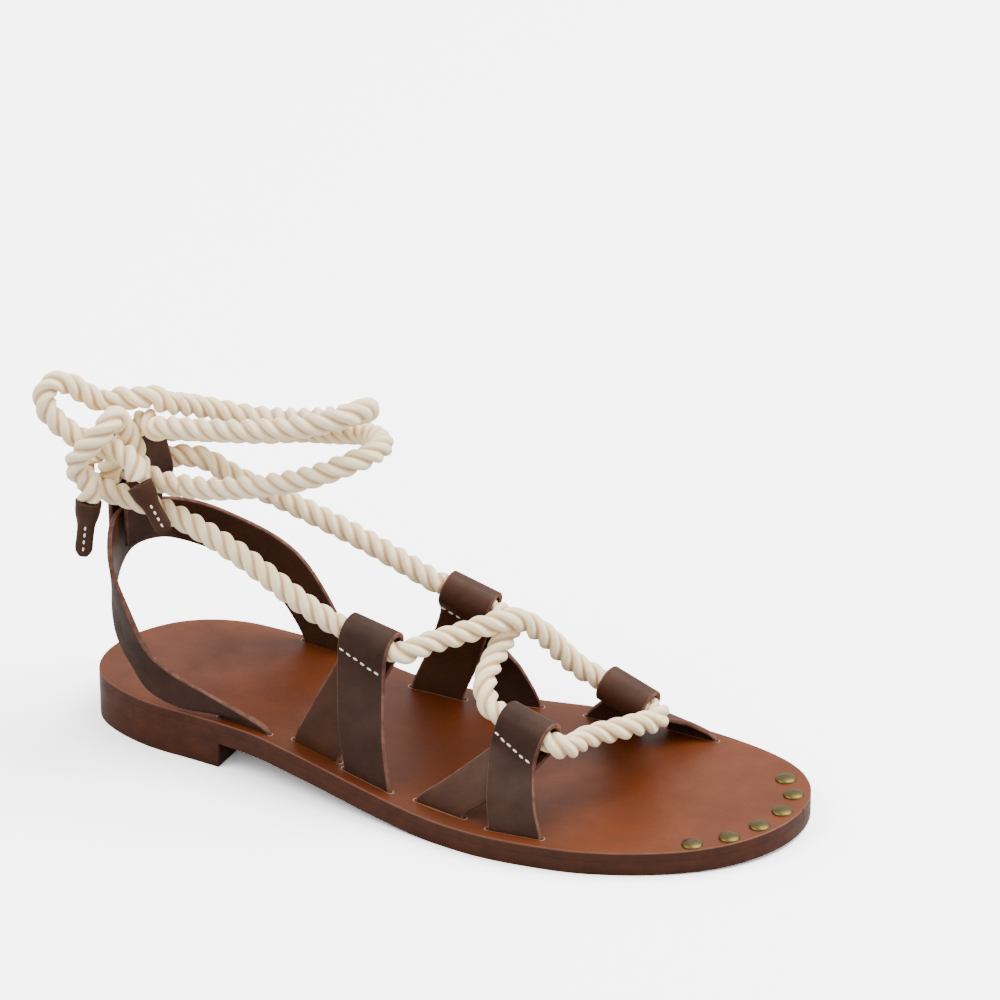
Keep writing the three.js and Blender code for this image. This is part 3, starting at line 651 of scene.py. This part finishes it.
# %% Strap loops
# name; side; rear slit, front slit and tube's middle as shares of LENGTH; the tube's middle
# across as a share of BALL_WIDTH and up as a share of INSTEP_HEIGHT; how many degrees the tube
# dips towards the toe, and how many it splays outwards
LOOPS = [
    ("strap_loop_outer_rear", -1, 0.378, 0.464, 0.436, -0.210, 0.945, 10, 3),
    ("strap_loop_outer_front", -1, 0.573, 0.686, 0.664, -0.205, 0.602, 9, 11),
    ("strap_loop_inner_rear", 1, 0.442, 0.540, 0.494, 0.247, 0.910, 15, 0),
    ("strap_loop_inner_front", 1, 0.673, 0.785, 0.726, 0.253, 0.510, 15, -8),
]
# middle of the leather to the middle of the rope, and to the middle of a pair of layers
TUBE_RADIUS = ROPE / 2 + ROPE_ROOM + STRAP / 2
LAYER_OFFSET = (STRAP + FIT) / 2
SEAM_DROP = 1.75 * TUBE_RADIUS
# a leg's knee: its height as a share of the way from slit to seam, and how far it bulges
KNEE = 0.42
LEG_BULGE = 2.2 * MM
FOLD_STEP = 30         # degrees between two rows round a fold


def tube_of(loop):
    """Middle and direction of the tube that a loop makes round the rope."""
    name, side, rear, front, tube, across, up, dip, splay = loop
    dip, splay = math.radians(dip), math.radians(splay)
    axis = np.array([
        math.cos(dip) * math.cos(splay),
        side * math.cos(dip) * math.sin(splay),
        -math.sin(dip),
    ])
    return np.array([x_of(tube), across * BALL_WIDTH, up * INSTEP_HEIGHT]), axis


def leg_place(at, side, shift):
    """A leg's slit, moved outwards by shift so that the two layers lie side by side."""
    middle, direction = slit_at(at, side, SLIT_INSET)
    out = np.array([direction[1], -direction[0], 0.0])
    out *= np.sign(out[1] * side)
    return middle + out * shift, direction


def loop_rows(loop):
    """Rows of the strip, from the front slit round the rope to the rear slit."""
    name, side, rear, front = loop[:4]
    outer = leg_place(front, side, LAYER_OFFSET)
    inner = leg_place(rear, side, -LAYER_OFFSET)
    centre, axis = tube_of(loop)
    base = (outer[0] + inner[0]) / 2
    base[2] = insole_top(centre[0])
    down = base - centre
    down = unit(down - axis * (down @ axis))
    out = np.cross(axis, down)
    out *= np.sign(out[1] * side)
    reach = np.array([-1, 1])[:, None] * axis * LOOP_WIDTH / 2

    def leg(slit, face):
        foot, mouth = strap_foot(slit, LEG_WIDTH)
        seam = centre + down * SEAM_DROP + out * face * LAYER_OFFSET + reach
        knee = mouth + (seam - mouth) * KNEE + np.array([0, side * LEG_BULGE, 0])
        return [foot, mouth, knee, seam]

    fold = []
    for angle in range(-FOLD_STEP, 181 + FOLD_STEP, FOLD_STEP):
        a = math.radians(angle)
        fold.append(centre + TUBE_RADIUS * (math.cos(a) * out - math.sin(a) * down) + reach)
    return np.array([*leg(outer, 1), *fold, *leg(inner, -1)[::-1]])


for loop in LOOPS:
    place(strip(loop[0] + "_form", loop_rows(loop)), loop[0], slot="strap_leather")


# %% Stitches
STITCHES = 6           # stitches across a strap
STITCH_RADIUS = 0.5 * MM
SEAM_ROW = 3           # row of a loop's table at its seam, from either end
# Across the strap a stitch starts and ends at these shares of its room, and the seam stops short
# of the strap's edges.
STITCH_FROM, STITCH_TO = 0.1, 0.72
SEAM_MARGIN, SEAM_LENGTH = 0.04, 0.9
# The seam lies SEAM_RISE of a row nearer the rope than its row, and SEAM_SLANT more at one edge,
# fading as a power of the share across.
SEAM_RISE, SEAM_SLANT, SEAM_POWER = 0.05, 0.55, 1.5


def bars(name, ends, radius, material):
    """Stitches joined into one mesh: for each (start, end, up) a bar with eight sides and round
    ends, flatter along up than across."""
    flatness = 0.7
    a = np.linspace(0, 2 * np.pi, 8, endpoint=False)
    along_bar = np.array([0.0, 0.12, 0.3, 0.7, 0.88, 1.0])[:, None, None]
    wide = np.array([0.35, 0.8, 1.0, 1.0, 0.8, 0.35])[:, None, None]
    forms = []
    for start, end, up in ends:
        run = end - start
        side = unit(np.cross(run, up))
        lift = unit(np.cross(side, run))
        ring = np.cos(a)[:, None] * side + flatness * np.sin(a)[:, None] * lift
        forms.append(start + along_bar * run + radius * wide * ring)
    return joined(name, forms, material, True)


def on_strip(rows, row, across, lift):
    """A point on a strip, at a row number that may lie between two rows, at a share of its width,
    raised by lift from its middle plane, and the direction in which it is raised."""
    steps = 20
    one, other = smooth_curve(rows[:, 0], steps), smooth_curve(rows[:, 1], steps)
    i = int(round(row * steps))
    run = one[i + 1] + other[i + 1] - one[i - 1] - other[i - 1]
    face = unit(np.cross(run, other[i] - one[i]))
    return one[i] + (other[i] - one[i]) * across + face * lift, face


def seam_point(loop, rows, end_row, towards_rope, share):
    """A point of a loop's seam at a share of the strap's width, on the strap's outer face, which
    is the one farther from the rope."""
    share = SEAM_MARGIN + SEAM_LENGTH * share
    rise = SEAM_RISE + SEAM_SLANT * (1 - share) ** SEAM_POWER
    at, face = on_strip(rows, end_row + towards_rope * rise, share, STRAP / 2)
    other_side = at - face * STRAP
    rope = tube_of(loop)[0]
    return at if (at - other_side) @ (at - rope) > 0 else other_side


stitches = []
for loop in LOOPS:
    rows = loop_rows(loop)
    rope = tube_of(loop)[0]
    for end_row, towards_rope in ((SEAM_ROW, 1), (len(rows) - 1 - SEAM_ROW, -1)):
        for k in range(STITCHES):
            start, end = (seam_point(loop, rows, end_row, towards_rope, (k + part) / STITCHES)
                          for part in (STITCH_FROM, STITCH_TO))
            stitches.append((start, end, unit(start - rope)))
place(bars("loop_stitches", stitches, STITCH_RADIUS, THREAD))


# %% Slits
SLIT_WIDTH = 2.1 * MM
SLIT_RIM = 0.1 * MM        # bare leather round a slit
SLIT_RIM_END = 0.25 * MM   # the same beyond its ends
SLIT_DEPTH = 0.3 * MM


def heel_slit(side):
    """Middle and direction of the heel strap's slit."""
    return slit_at((HEEL_SLIT_START + HEEL_STRAP_WIDTH / 2) / LENGTH, side, HEEL_SLIT_INSET)


def slit_plates(name, places, length, width, lift, material):
    """Flat plates with round ends that lie on the insole, a little proud of it by lift: one for
    each (middle, direction, half length of the strap), longer by length at each end."""
    a = np.linspace(0, 2 * np.pi, 24, endpoint=False)
    forms = []
    for middle, direction, half in places:
        out = np.array([-direction[1], direction[0], 0.0])
        ends = np.where(np.cos(a) >= 0, 1, -1)[:, None] * direction * (half + length)
        rim = middle + ends + width / 2 * (np.cos(a)[:, None] * direction
                                           + np.sin(a)[:, None] * out)
        low, high = rim.copy(), rim.copy()
        low[:, 2] = insole_top(rim[:, 0]) - SLIT_DEPTH
        high[:, 2] = insole_top(rim[:, 0]) + lift
        forms.append(np.stack([low, high]))
    return place(joined(name, forms, material, False))


slits = [(*heel_slit(side), HEEL_STRAP_WIDTH / 2) for side in (-1, 1)]
for name, side, rear, front, *rest in LOOPS:
    slits.append((*leg_place(front, side, LAYER_OFFSET), LEG_WIDTH / 2))
    slits.append((*leg_place(rear, side, -LAYER_OFFSET), LEG_WIDTH / 2))
slit_plates("slit_rims", slits, SLIT_RIM_END, SLIT_WIDTH + 2 * SLIT_RIM, 0.03 * MM, SLIT_END)
# Painted shade: dark plates over the slits, for the shadow inside them.
slit_plates("slit_shade_plates", slits, 0, SLIT_WIDTH, 0.06 * MM, SLIT_SHADE)


# %% [markdown]
# ## Heel strap and tab
# One broad band comes out of the insole on each side and rises round the back of the heel. It
# carries a tab that folds over the two strands of rope behind the ankle.

# %% Heel strap
# lower edge and upper edge: x as a share of LENGTH, y of half BALL_WIDTH, z of HEEL_STRAP_HEIGHT
HEEL_STRAP_ROWS = np.array([
    [[-0.328, -0.684, 0.248], [-0.274, -0.661, 0.331]],
    [[-0.374, -0.678, 0.291], [-0.338, -0.661, 0.403]],
    [[-0.408, -0.579, 0.353], [-0.372, -0.684, 0.491]],
    [[-0.442, -0.495, 0.480], [-0.400, -0.684, 0.660]],
    [[-0.464, -0.305, 0.653], [-0.442, -0.547, 0.840]],
    [[-0.468, -0.063, 0.747], [-0.466, -0.274, 0.973]],
    [[-0.458, 0.189, 0.740], [-0.462, 0.021, 0.973]],
    [[-0.442, 0.442, 0.673], [-0.428, 0.326, 0.924]],
    [[-0.380, 0.600, 0.573], [-0.376, 0.526, 0.833]],
    [[-0.316, 0.655, 0.420], [-0.278, 0.621, 0.664]],
])


band = HEEL_STRAP_ROWS * [LENGTH, BALL_WIDTH / 2, HEEL_STRAP_HEIGHT]
outer_foot, inner_foot = (strap_foot(heel_slit(side), HEEL_STRAP_WIDTH) for side in (-1, 1))
heel_strap = strip("heel_strap_form", [*outer_foot, *band, *inner_foot[::-1]])
place(heel_strap, "heel_strap", slot="strap_leather")

# %% Tab
TAB_WALL = ROPE / 2 + ROPE_ROOM + STRAP / 2
# share of LENGTH, share of BALL_WIDTH across, and degrees that the tab is turned, at its foot
# and at its head
TAB_FOOT = np.array([0.0383, -0.010, 80])
TAB_HEAD = np.array([0.0436, 0.004, 60])
# height above the heel strap as a share of TAB_RISE, inner and outer wall as shares of TAB_WALL,
# how far the tab has turned
TAB_ROWS = np.array([
    [-0.50, 0.65, -0.63, 0.00],
    [-0.20, 0.65, -0.63, 0.00],
    [0.12, 0.80, -0.65, 0.30],
    [0.33, 1.22, -0.62, 0.90],
    [0.47, 1.35, -0.65, 1.00],
    [0.78, 0.65, -1.35, 1.00],
])


def tab_row(up, off, turned):
    """Both ends of the tab's width at one height, off its middle plane by a distance."""
    at, across, turn = TAB_FOOT + (TAB_HEAD - TAB_FOOT) * turned
    turn = math.radians(turn)
    wide = np.array([math.cos(turn), math.sin(turn), 0.0])
    inward = np.array([math.sin(turn), -math.cos(turn), 0.0])
    middle = np.array([x_of(at), across * BALL_WIDTH, HEEL_STRAP_HEIGHT + up]) + inward * off
    return middle + np.array([-1, 1])[:, None] * wide * TAB_WIDTH / 2


def tab_rows():
    """Rows of the tab: up its inner wall, round the fold over the rope, down its outer wall."""
    inner = [tab_row(up * TAB_RISE, a * TAB_WALL, t) for up, a, b, t in TAB_ROWS]
    outer = [tab_row(up * TAB_RISE, b * TAB_WALL, t) for up, a, b, t in TAB_ROWS]
    up, a, b, t = TAB_ROWS[-1]
    fold = []
    for angle in range(FOLD_STEP, 180, FOLD_STEP):
        turn = math.radians(angle)
        off = (a + b) / 2 * TAB_WALL + TAB_WALL * math.cos(turn)
        fold.append(tab_row(up * TAB_RISE + TAB_WALL * math.sin(turn), off, t))
    return [*inner, *fold, *outer[::-1]]


place(strip("heel_tab_form", tab_rows()), "heel_tab", slot="strap_leather")

# %% [markdown]
# ## Rope
# The rope is laid from three strands, twisted right-handed. Its section is the outline of three
# overlapping circles, turned along the length by one turn every ROPE_LAY. The whole rope is one
# long curve, from one leather tip to the other, cut into pieces where the CAD nodes meet, so the
# twist runs through without a seam.

# %% Rope route
# The lacing between the loops, as shares of LENGTH, BALL_WIDTH and INSTEP_HEIGHT: over the
# instep, across the toes, and back under the crossing.
OVER = np.array([
    [0.007, -0.126, 0.935], [0.029, -0.053, 0.945], [0.053, 0.011, 0.97],
    [0.074, 0.058, 0.995], [0.089, 0.095, 0.995], [0.103, 0.137, 0.94], [0.122, 0.179, 0.84],
    [0.139, 0.211, 0.73], [0.158, 0.242, 0.63],
])
TOE_SIDE = np.array([
    [0.278, 0.211, 0.47], [0.279, 0.168, 0.47], [0.271, 0.116, 0.49], [0.259, 0.042, 0.51],
    [0.236, -0.032, 0.51], [0.222, -0.105, 0.515], [0.220, -0.165, 0.525], [0.214, -0.215, 0.55],
])
UNDER = np.array([
    [0.099, -0.163, 0.66], [0.084, -0.116, 0.73], [0.078, -0.053, 0.78], [0.076, 0.021, 0.825],
    [0.076, 0.074, 0.86], [0.074, 0.126, 0.875], [0.067, 0.168, 0.88], [0.052, 0.204, 0.885],
])
INSTEP = np.array([LENGTH, BALL_WIDTH, INSTEP_HEIGHT])
# outer rear loop to the tab
SPAN_OUTER = np.array([
    [-25.7, -19.4, 55.6], [-29.7, -19.2, 56.3], [-35.4, -20.6, 59.5], [-42.5, -22.0, 64.0],
    [-51.6, -23.0, 70.0], [-62.4, -23.5, 76.1], [-73.5, -23.5, 80.8], [-85.0, -23.0, 84.4],
    [-94.9, -22.0, 86.0], [-104.0, -21.6, 86.8], [-112.5, -21.2, 87.2], [-120.0, -20.0, 88.2],
    [-125.3, -17.2, 90.0], [-125.0, -12.0, 93.6], [-121.1, -8.0, 96.0], [-116.3, 0.4, 96.0],
]) * MM
# inner rear loop to the tab
SPAN_INNER = np.array([
    [-11.1, 23.5, 54.5], [-15.0, 23.5, 55.5], [-28.0, 24.0, 59.8], [-43.1, 24.0, 65.0],
    [-57.6, 23.0, 69.8], [-68.2, 21.5, 73.7], [-78.2, 19.0, 77.8], [-87.9, 16.0, 82.6],
    [-96.0, 13.3, 87.6], [-102.0, 12.0, 88.0], [-106.6, 9.5, 87.8], [-112.9, -1.4, 87.8],
]) * MM
# tab to the knot, round the shin
WINDING_LOWER = np.array([
    [-116.1, 0.8, 96.0], [-110.4, 10.6, 96.0], [-106.0, 13.0, 96.4], [-100.0, 14.1, 97.0],
    [-91.0, 15.5, 98.0], [-76.7, 18.7, 99.2], [-62.4, 20.7, 101.9], [-46.3, 17.1, 106.4],
    [-36.0, 14.1, 109.7], [-26.8, 7.0, 112.9], [-21.8, 0.0, 114.5], [-22.0, -8.0, 114.7],
    [-26.2, -14.0, 113.4], [-34.0, -17.5, 109.7], [-42.6, -19.5, 106.2], [-52.2, -20.5, 102.8],
    [-63.4, -20.5, 99.2], [-75.0, -20.3, 96.2], [-81.0, -20.1, 95.3], [-84.9, -20.0, 95.0],
]) * MM
# tab round the shin, above
WINDING_UPPER = np.array([
    [-113.1, -1.8, 87.8], [-117.5, -9.4, 87.8], [-117.8, -13.0, 89.4], [-115.4, -15.0, 93.8],
    [-112.4, -13.5, 99.5], [-109.8, -9.6, 105.0], [-104.7, -9.8, 110.4], [-97.2, -16.1, 111.3],
    [-92.0, -18.8, 114.4], [-85.6, -20.2, 115.9], [-74.0, -20.5, 117.9], [-62.8, -20.5, 120.0],
    [-52.0, -20.0, 122.5], [-42.4, -19.0, 125.1], [-33.7, -17.0, 127.8], [-27.8, -13.0, 129.6],
    [-25.4, -6.0, 129.2], [-26.4, -0.3, 126.8], [-31.3, 5.2, 122.4], [-38.0, 9.2, 118.4],
    [-47.1, 12.0, 113.8], [-59.5, 14.0, 109.8], [-71.9, 15.5, 106.8], [-83.3, 13.2, 107.1],
    [-92.9, 6.8, 110.4], [-97.5, -2.9, 114.9],
]) * MM
# over the knot, round the bow, to a loose end
BOW = np.array([
    [-97.7, -3.3, 115.1], [-99.2, -6.6, 116.6], [-101.7, -9.9, 119.6], [-105.9, -12.8, 119.3],
    [-111.3, -14.5, 118.9], [-116.1, -16.8, 117.8], [-120.1, -19.0, 119.7],
    [-124.2, -21.5, 123.2], [-128.0, -24.5, 125.5], [-130.8, -27.5, 124.4],
    [-131.2, -29.8, 120.6], [-128.7, -30.4, 116.2], [-124.8, -29.6, 112.4],
    [-120.4, -28.2, 109.0], [-115.9, -27.0, 107.3], [-111.1, -26.2, 106.2],
    [-105.2, -26.6, 105.8], [-99.5, -28.6, 105.0], [-96.8, -30.2, 102.3], [-95.7, -31.0, 99.6],
]) * MM
# round the knot to the other loose end
WRAP = np.array([
    [-85.3, -20.0, 94.9], [-90.0, -19.9, 94.5], [-95.0, -20.0, 94.8], [-99.5, -19.6, 96.2],
    [-103.2, -18.8, 99.4], [-104.8, -18.0, 104.0], [-106.6, -18.6, 109.0], [-107.8, -21.0, 114.0],
    [-106.8, -26.0, 118.0], [-107.5, -31.7, 115.6], [-111.6, -35.6, 110.1],
    [-115.4, -36.4, 105.0], [-116.0, -35.6, 100.6], [-113.6, -34.2, 97.4], [-112.1, -34.6, 94.4],
    [-112.2, -35.2, 90.6],
]) * MM

# distances from a tube's middle: where the lacing ends, inside the tube, and just outside it
END = LOOP_WIDTH / 2 + 0.5 * MM
IN = LOOP_WIDTH * 0.28
LEAD = LOOP_WIDTH * 0.62


def through(loop, reaches):
    """Points that lead the rope straight through a loop's tube."""
    centre, axis = tube_of(loop)
    return [centre + axis * reach for reach in reaches]


outer_rear, outer_front, inner_rear, inner_front = LOOPS
LACING = [
    *through(outer_rear, [-END, -IN, IN, LEAD]), *(OVER * INSTEP),
    *through(inner_front, [-LEAD, -IN, IN, LEAD]), *(TOE_SIDE * INSTEP),
    *through(outer_front, [LEAD, IN, -IN, -LEAD]), *(UNDER * INSTEP),
    *through(inner_rear, [LEAD, IN, -IN, -END]),
]

# %% Rope form
ROPE_LAY = 17.5 * MM   # length of one turn of the strands
STRAND = 0.27 * ROPE   # radius of a strand
ROPE_STEP = 0.7 * MM   # from one ring to the next
AROUND = 36            # points round a ring
# order along the rope, from one tip to the other, and whether the list is walked backwards
ROUTE = [
    ("rope_wrap", WRAP, True),
    ("rope_winding_lower", WINDING_LOWER, True),
    ("rope_span_outer", SPAN_OUTER, True),
    ("rope_lacing", LACING, False),
    ("rope_span_inner", SPAN_INNER, False),
    ("rope_winding_upper", WINDING_UPPER, False),
    ("rope_bow", BOW, False),
]


def whole_rope():
    """The rope's middle line in even steps, and where along it each piece ends."""
    points, ends = [], []
    for name, rows, backwards in ROUTE:
        rows = np.asarray(rows, float)
        points.append(rows[::-1] if backwards else rows)
        ends.append(sum(len(p) for p in points))
    steps = 16
    line = smooth_curve(np.vstack(points), steps)
    distance = lengths(line)
    cuts = [0.0]
    for end in ends[:-1]:
        a = distance[min((end - 1) * steps, len(line) - 1)]
        b = distance[min(end * steps, len(line) - 1)]
        cuts.append((a + b) / 2)
    cuts.append(distance[-1])
    count = int(distance[-1] / ROPE_STEP)
    even = np.linspace(0, distance[-1], count)
    line = np.stack([np.interp(even, distance, line[:, i]) for i in range(3)], axis=1)
    return line, even, cuts


rope_line, rope_at, rope_cuts = whole_rope()
rope_side, rope_up = sides(rope_line)


def rope_piece(name, start, end):
    """The stretch of rope between two distances along it. The section's radius at an angle f
    from the nearest strand's middle is d cos f + sqrt(s^2 - d^2 sin^2 f), with s the strand's
    radius and d its distance from the rope's middle, d + s = ROPE / 2."""
    keep = (rope_at >= start - 1e-9) & (rope_at <= end + 1e-9)
    line, at = rope_line[keep], rope_at[keep]
    off = ROPE / 2 - STRAND
    turn = np.linspace(0, 2 * np.pi, AROUND, endpoint=False) + np.pi / AROUND
    f = (turn + np.pi / 3) % (2 * np.pi / 3) - np.pi / 3
    radius = off * np.cos(f) + np.sqrt(STRAND**2 - (off * np.sin(f)) ** 2)
    a = turn[None, :] + 2 * np.pi * at[:, None] / ROPE_LAY
    across = np.cos(a)[..., None] * rope_side[keep][:, None]
    across = across + np.sin(a)[..., None] * rope_up[keep][:, None]
    rings = line[:, None] + radius[None, :, None] * across
    uv = np.stack([at[:, None] + 0 * a, f[None, :] / (np.pi / 3) + 0 * a], axis=-1)
    return loft(name + "_form", rings, [COTTON], uv), line


rope_pieces = {}
for (name, rows, backwards), start, end in zip(ROUTE, rope_cuts, rope_cuts[1:]):
    made, line = rope_piece(name, start, end)
    place(made, name, slot="cotton_rope")
    rope_pieces[name] = (made, line[::-1] if backwards else line)

# %% [markdown]
# ## Leather tips
# Each end of the rope is held by a folded scrap of strap leather, stitched flat below it.

# %% Leather tips
# share of the length, width, thickness
TIP_ROWS = np.array([
    [0.00, 8.9, 8.3], [0.22, 8.2, 7.2], [0.42, 6.2, 4.8], [0.66, 5.8, 4.0], [0.90, 5.6, 3.6],
    [1.00, 3.2, 2.2],
]) * [1, MM, MM]
TIPS = {
    "rope_tip_lower": ([-112.3, -35.3, 90.0], [-114.0, -37.5, 70.5]),
    "rope_tip_upper": ([-95.0, -31.4, 98.3], [-85.0, -32.2, 83.3]),
}
TIP_FACE = np.array([0.4, -0.8, 0.45])      # the way that the flat of a tip faces
# stitches of a tip: how many, the first one's share of the length, the share from one to the
# next, and half the length of one
TIP_STITCHES, TIP_SEAM_START, TIP_SEAM_STEP, TIP_STITCH_HALF = 4, 0.45, 0.13, 0.035
TIP_STITCH_RADIUS = 0.35 * MM


def tip_piece(name, start, end):
    """A loft of ellipses along the tip, with widths and thicknesses smoothed from the table."""
    start, end = np.array(start) * MM, np.array(end) * MM
    run = end - start
    wide = unit(np.cross(run, TIP_FACE))
    thick = unit(np.cross(wide, run))
    rows = smooth_curve(TIP_ROWS, 8)
    a = np.linspace(0, 2 * np.pi, 28, endpoint=False)
    flat = np.sign(np.cos(a)) * np.abs(np.cos(a)) ** 0.8
    rings = (start + rows[:, 0, None, None] * run
             + rows[:, 1, None, None] / 2 * flat[:, None] * wide
             + rows[:, 2, None, None] / 2 * np.sin(a)[:, None] * thick)
    made = loft(name + "_form", rings, [STRAP_OUT])
    seam = []
    for k in range(TIP_STITCHES):
        at = TIP_SEAM_START + TIP_SEAM_STEP * k
        half = np.interp(at, TIP_ROWS[:, 0], TIP_ROWS[:, 2]) / 2
        middle = start + run * at + thick * half
        seam.append((middle - run * TIP_STITCH_HALF, middle + run * TIP_STITCH_HALF, thick))
    return made, seam


tips, seams = {}, []
for name, (start, end) in TIPS.items():
    tips[name], seam = tip_piece(name, start, end)
    place(tips[name], name, slot="strap_leather")
    seams += seam
tip_stitches = place(bars("tip_stitches", seams, TIP_STITCH_RADIUS, THREAD))

# %% [markdown]
# ## Free rope
# The free stretches of rope, each with what lies on its far end.

# %% Free stretches
# what is on the far end of each free stretch
FAR_END = {
    "rope_wrap": "fitting", "rope_bow": "fitting", "rope_span_outer": "object",
    "rope_span_inner": "object", "rope_winding_lower": "object", "rope_winding_upper": "object",
}
for name, far_end in FAR_END.items():
    made, line = rope_pieces[name]

# %% [markdown]
# ## Rivets
# Six domed heads of antique brass hold the insole down round the toe.

# %% Rivets
# shares of LENGTH and, across, of BALL_WIDTH
RIVETS = np.array([
    [0.904, -0.235], [0.941, -0.144], [0.965, -0.033], [0.977, 0.088], [0.973, 0.209],
    [0.947, 0.301],
])


def rivet(name, at, across):
    """A low dome: radius cos a and height sin a, with a short rim below that is pressed a little
    into the insole. The dome stops just short of its pole."""
    x, y = x_of(at), across * BALL_WIDTH
    rim, pressed_in, drawn_in = 0.1 * MM, 0.4 * MM, 0.96
    a = np.linspace(0, np.pi / 2 * 0.97, 12)[1:]
    wide = np.concatenate([[drawn_in, 1.0], np.cos(a)]) * RIVET_HEAD / 2
    tall = np.concatenate([[-pressed_in, rim], rim + RIVET_DOME * np.sin(a)])
    turn = np.linspace(0, 2 * np.pi, 36, endpoint=False)
    rings = np.stack([
        x + wide[:, None] * np.cos(turn),
        y + wide[:, None] * np.sin(turn),
        insole_top(x) + tall[:, None] + 0 * turn,
    ], axis=-1)
    return loft(name, rings, [BRASS])


for i, (at, across) in enumerate(RIVETS):
    place(rivet(f"rivet_{i + 1}_form", at, across), f"rivet_{i + 1}", slot="old_brass")

# %% [markdown]
# ## Floor and light
# A pale seamless floor, a broad soft light from above, a smaller one from the other side, a low
# one at the toe, and a white surrounding.

# %% Stage
AIM = Vector((0, 0, 0.05))
# what the paper sends back to the sandal, and what the lens sees of it
PAPER_THROWN = (0.42, 0.42, 0.42, 1)
PAPER_SEEN = (1.95, 1.95, 1.95, 1)
WORLD_STRENGTH = 1.4
FLOOR_HALF = 8


def light(name, where, size, power):
    """A round white lamp of that size in metres and power in watts, aimed at the sandal."""
    data = bpy.data.lights.new(name, "AREA")
    data.shape = "DISK"
    data.size = size
    data.energy = power
    made = bpy.data.objects.new(name, data)
    made.location = where
    made.rotation_mode = "QUATERNION"
    made.rotation_quaternion = (AIM - Vector(where)).to_track_quat("-Z", "Y")
    bpy.context.scene.collection.objects.link(made)
    return made


def floor_paper():
    """White paper that is lit on its own: to the lens it looks brighter than the light that it
    throws back at the sandal."""
    made = bpy.data.materials.new("floor_paper")
    made.use_nodes = True
    tree = made.node_tree
    tree.nodes.clear()
    plain_paper = node(tree, "ShaderNodeBsdfDiffuse", {"Color": PAPER_THROWN})
    lit_paper = node(tree, "ShaderNodeBsdfDiffuse", {"Color": PAPER_SEEN})
    seen = node(tree, "ShaderNodeLightPath").outputs["Is Camera Ray"]
    mix = node(tree, "ShaderNodeMixShader", {
        0: seen, 1: plain_paper.outputs["BSDF"], 2: lit_paper.outputs["BSDF"],
    })
    node(tree, "ShaderNodeOutputMaterial", {"Surface": mix.outputs["Shader"]})
    return made


corners = FLOOR_HALF * np.array([(-1, -1, 0), (1, -1, 0), (1, 1, 0), (-1, 1, 0)])
mesh_object("floor", corners, [(0, 1, 2, 3)], [floor_paper()], False)

world = bpy.data.worlds.new("world")
world.use_nodes = True
background = world.node_tree.nodes["Background"]
background.inputs["Color"].default_value = linear("#ffffff")
background.inputs["Strength"].default_value = WORLD_STRENGTH
bpy.context.scene.world = world
light("key", (0.9, 1.0, 2.4), 2.4, 140)
light("fill", (-1.2, -0.8, 2.0), 1.6, 35)
light("side", (1.7, 0.75, 0.4), 0.7, 9)
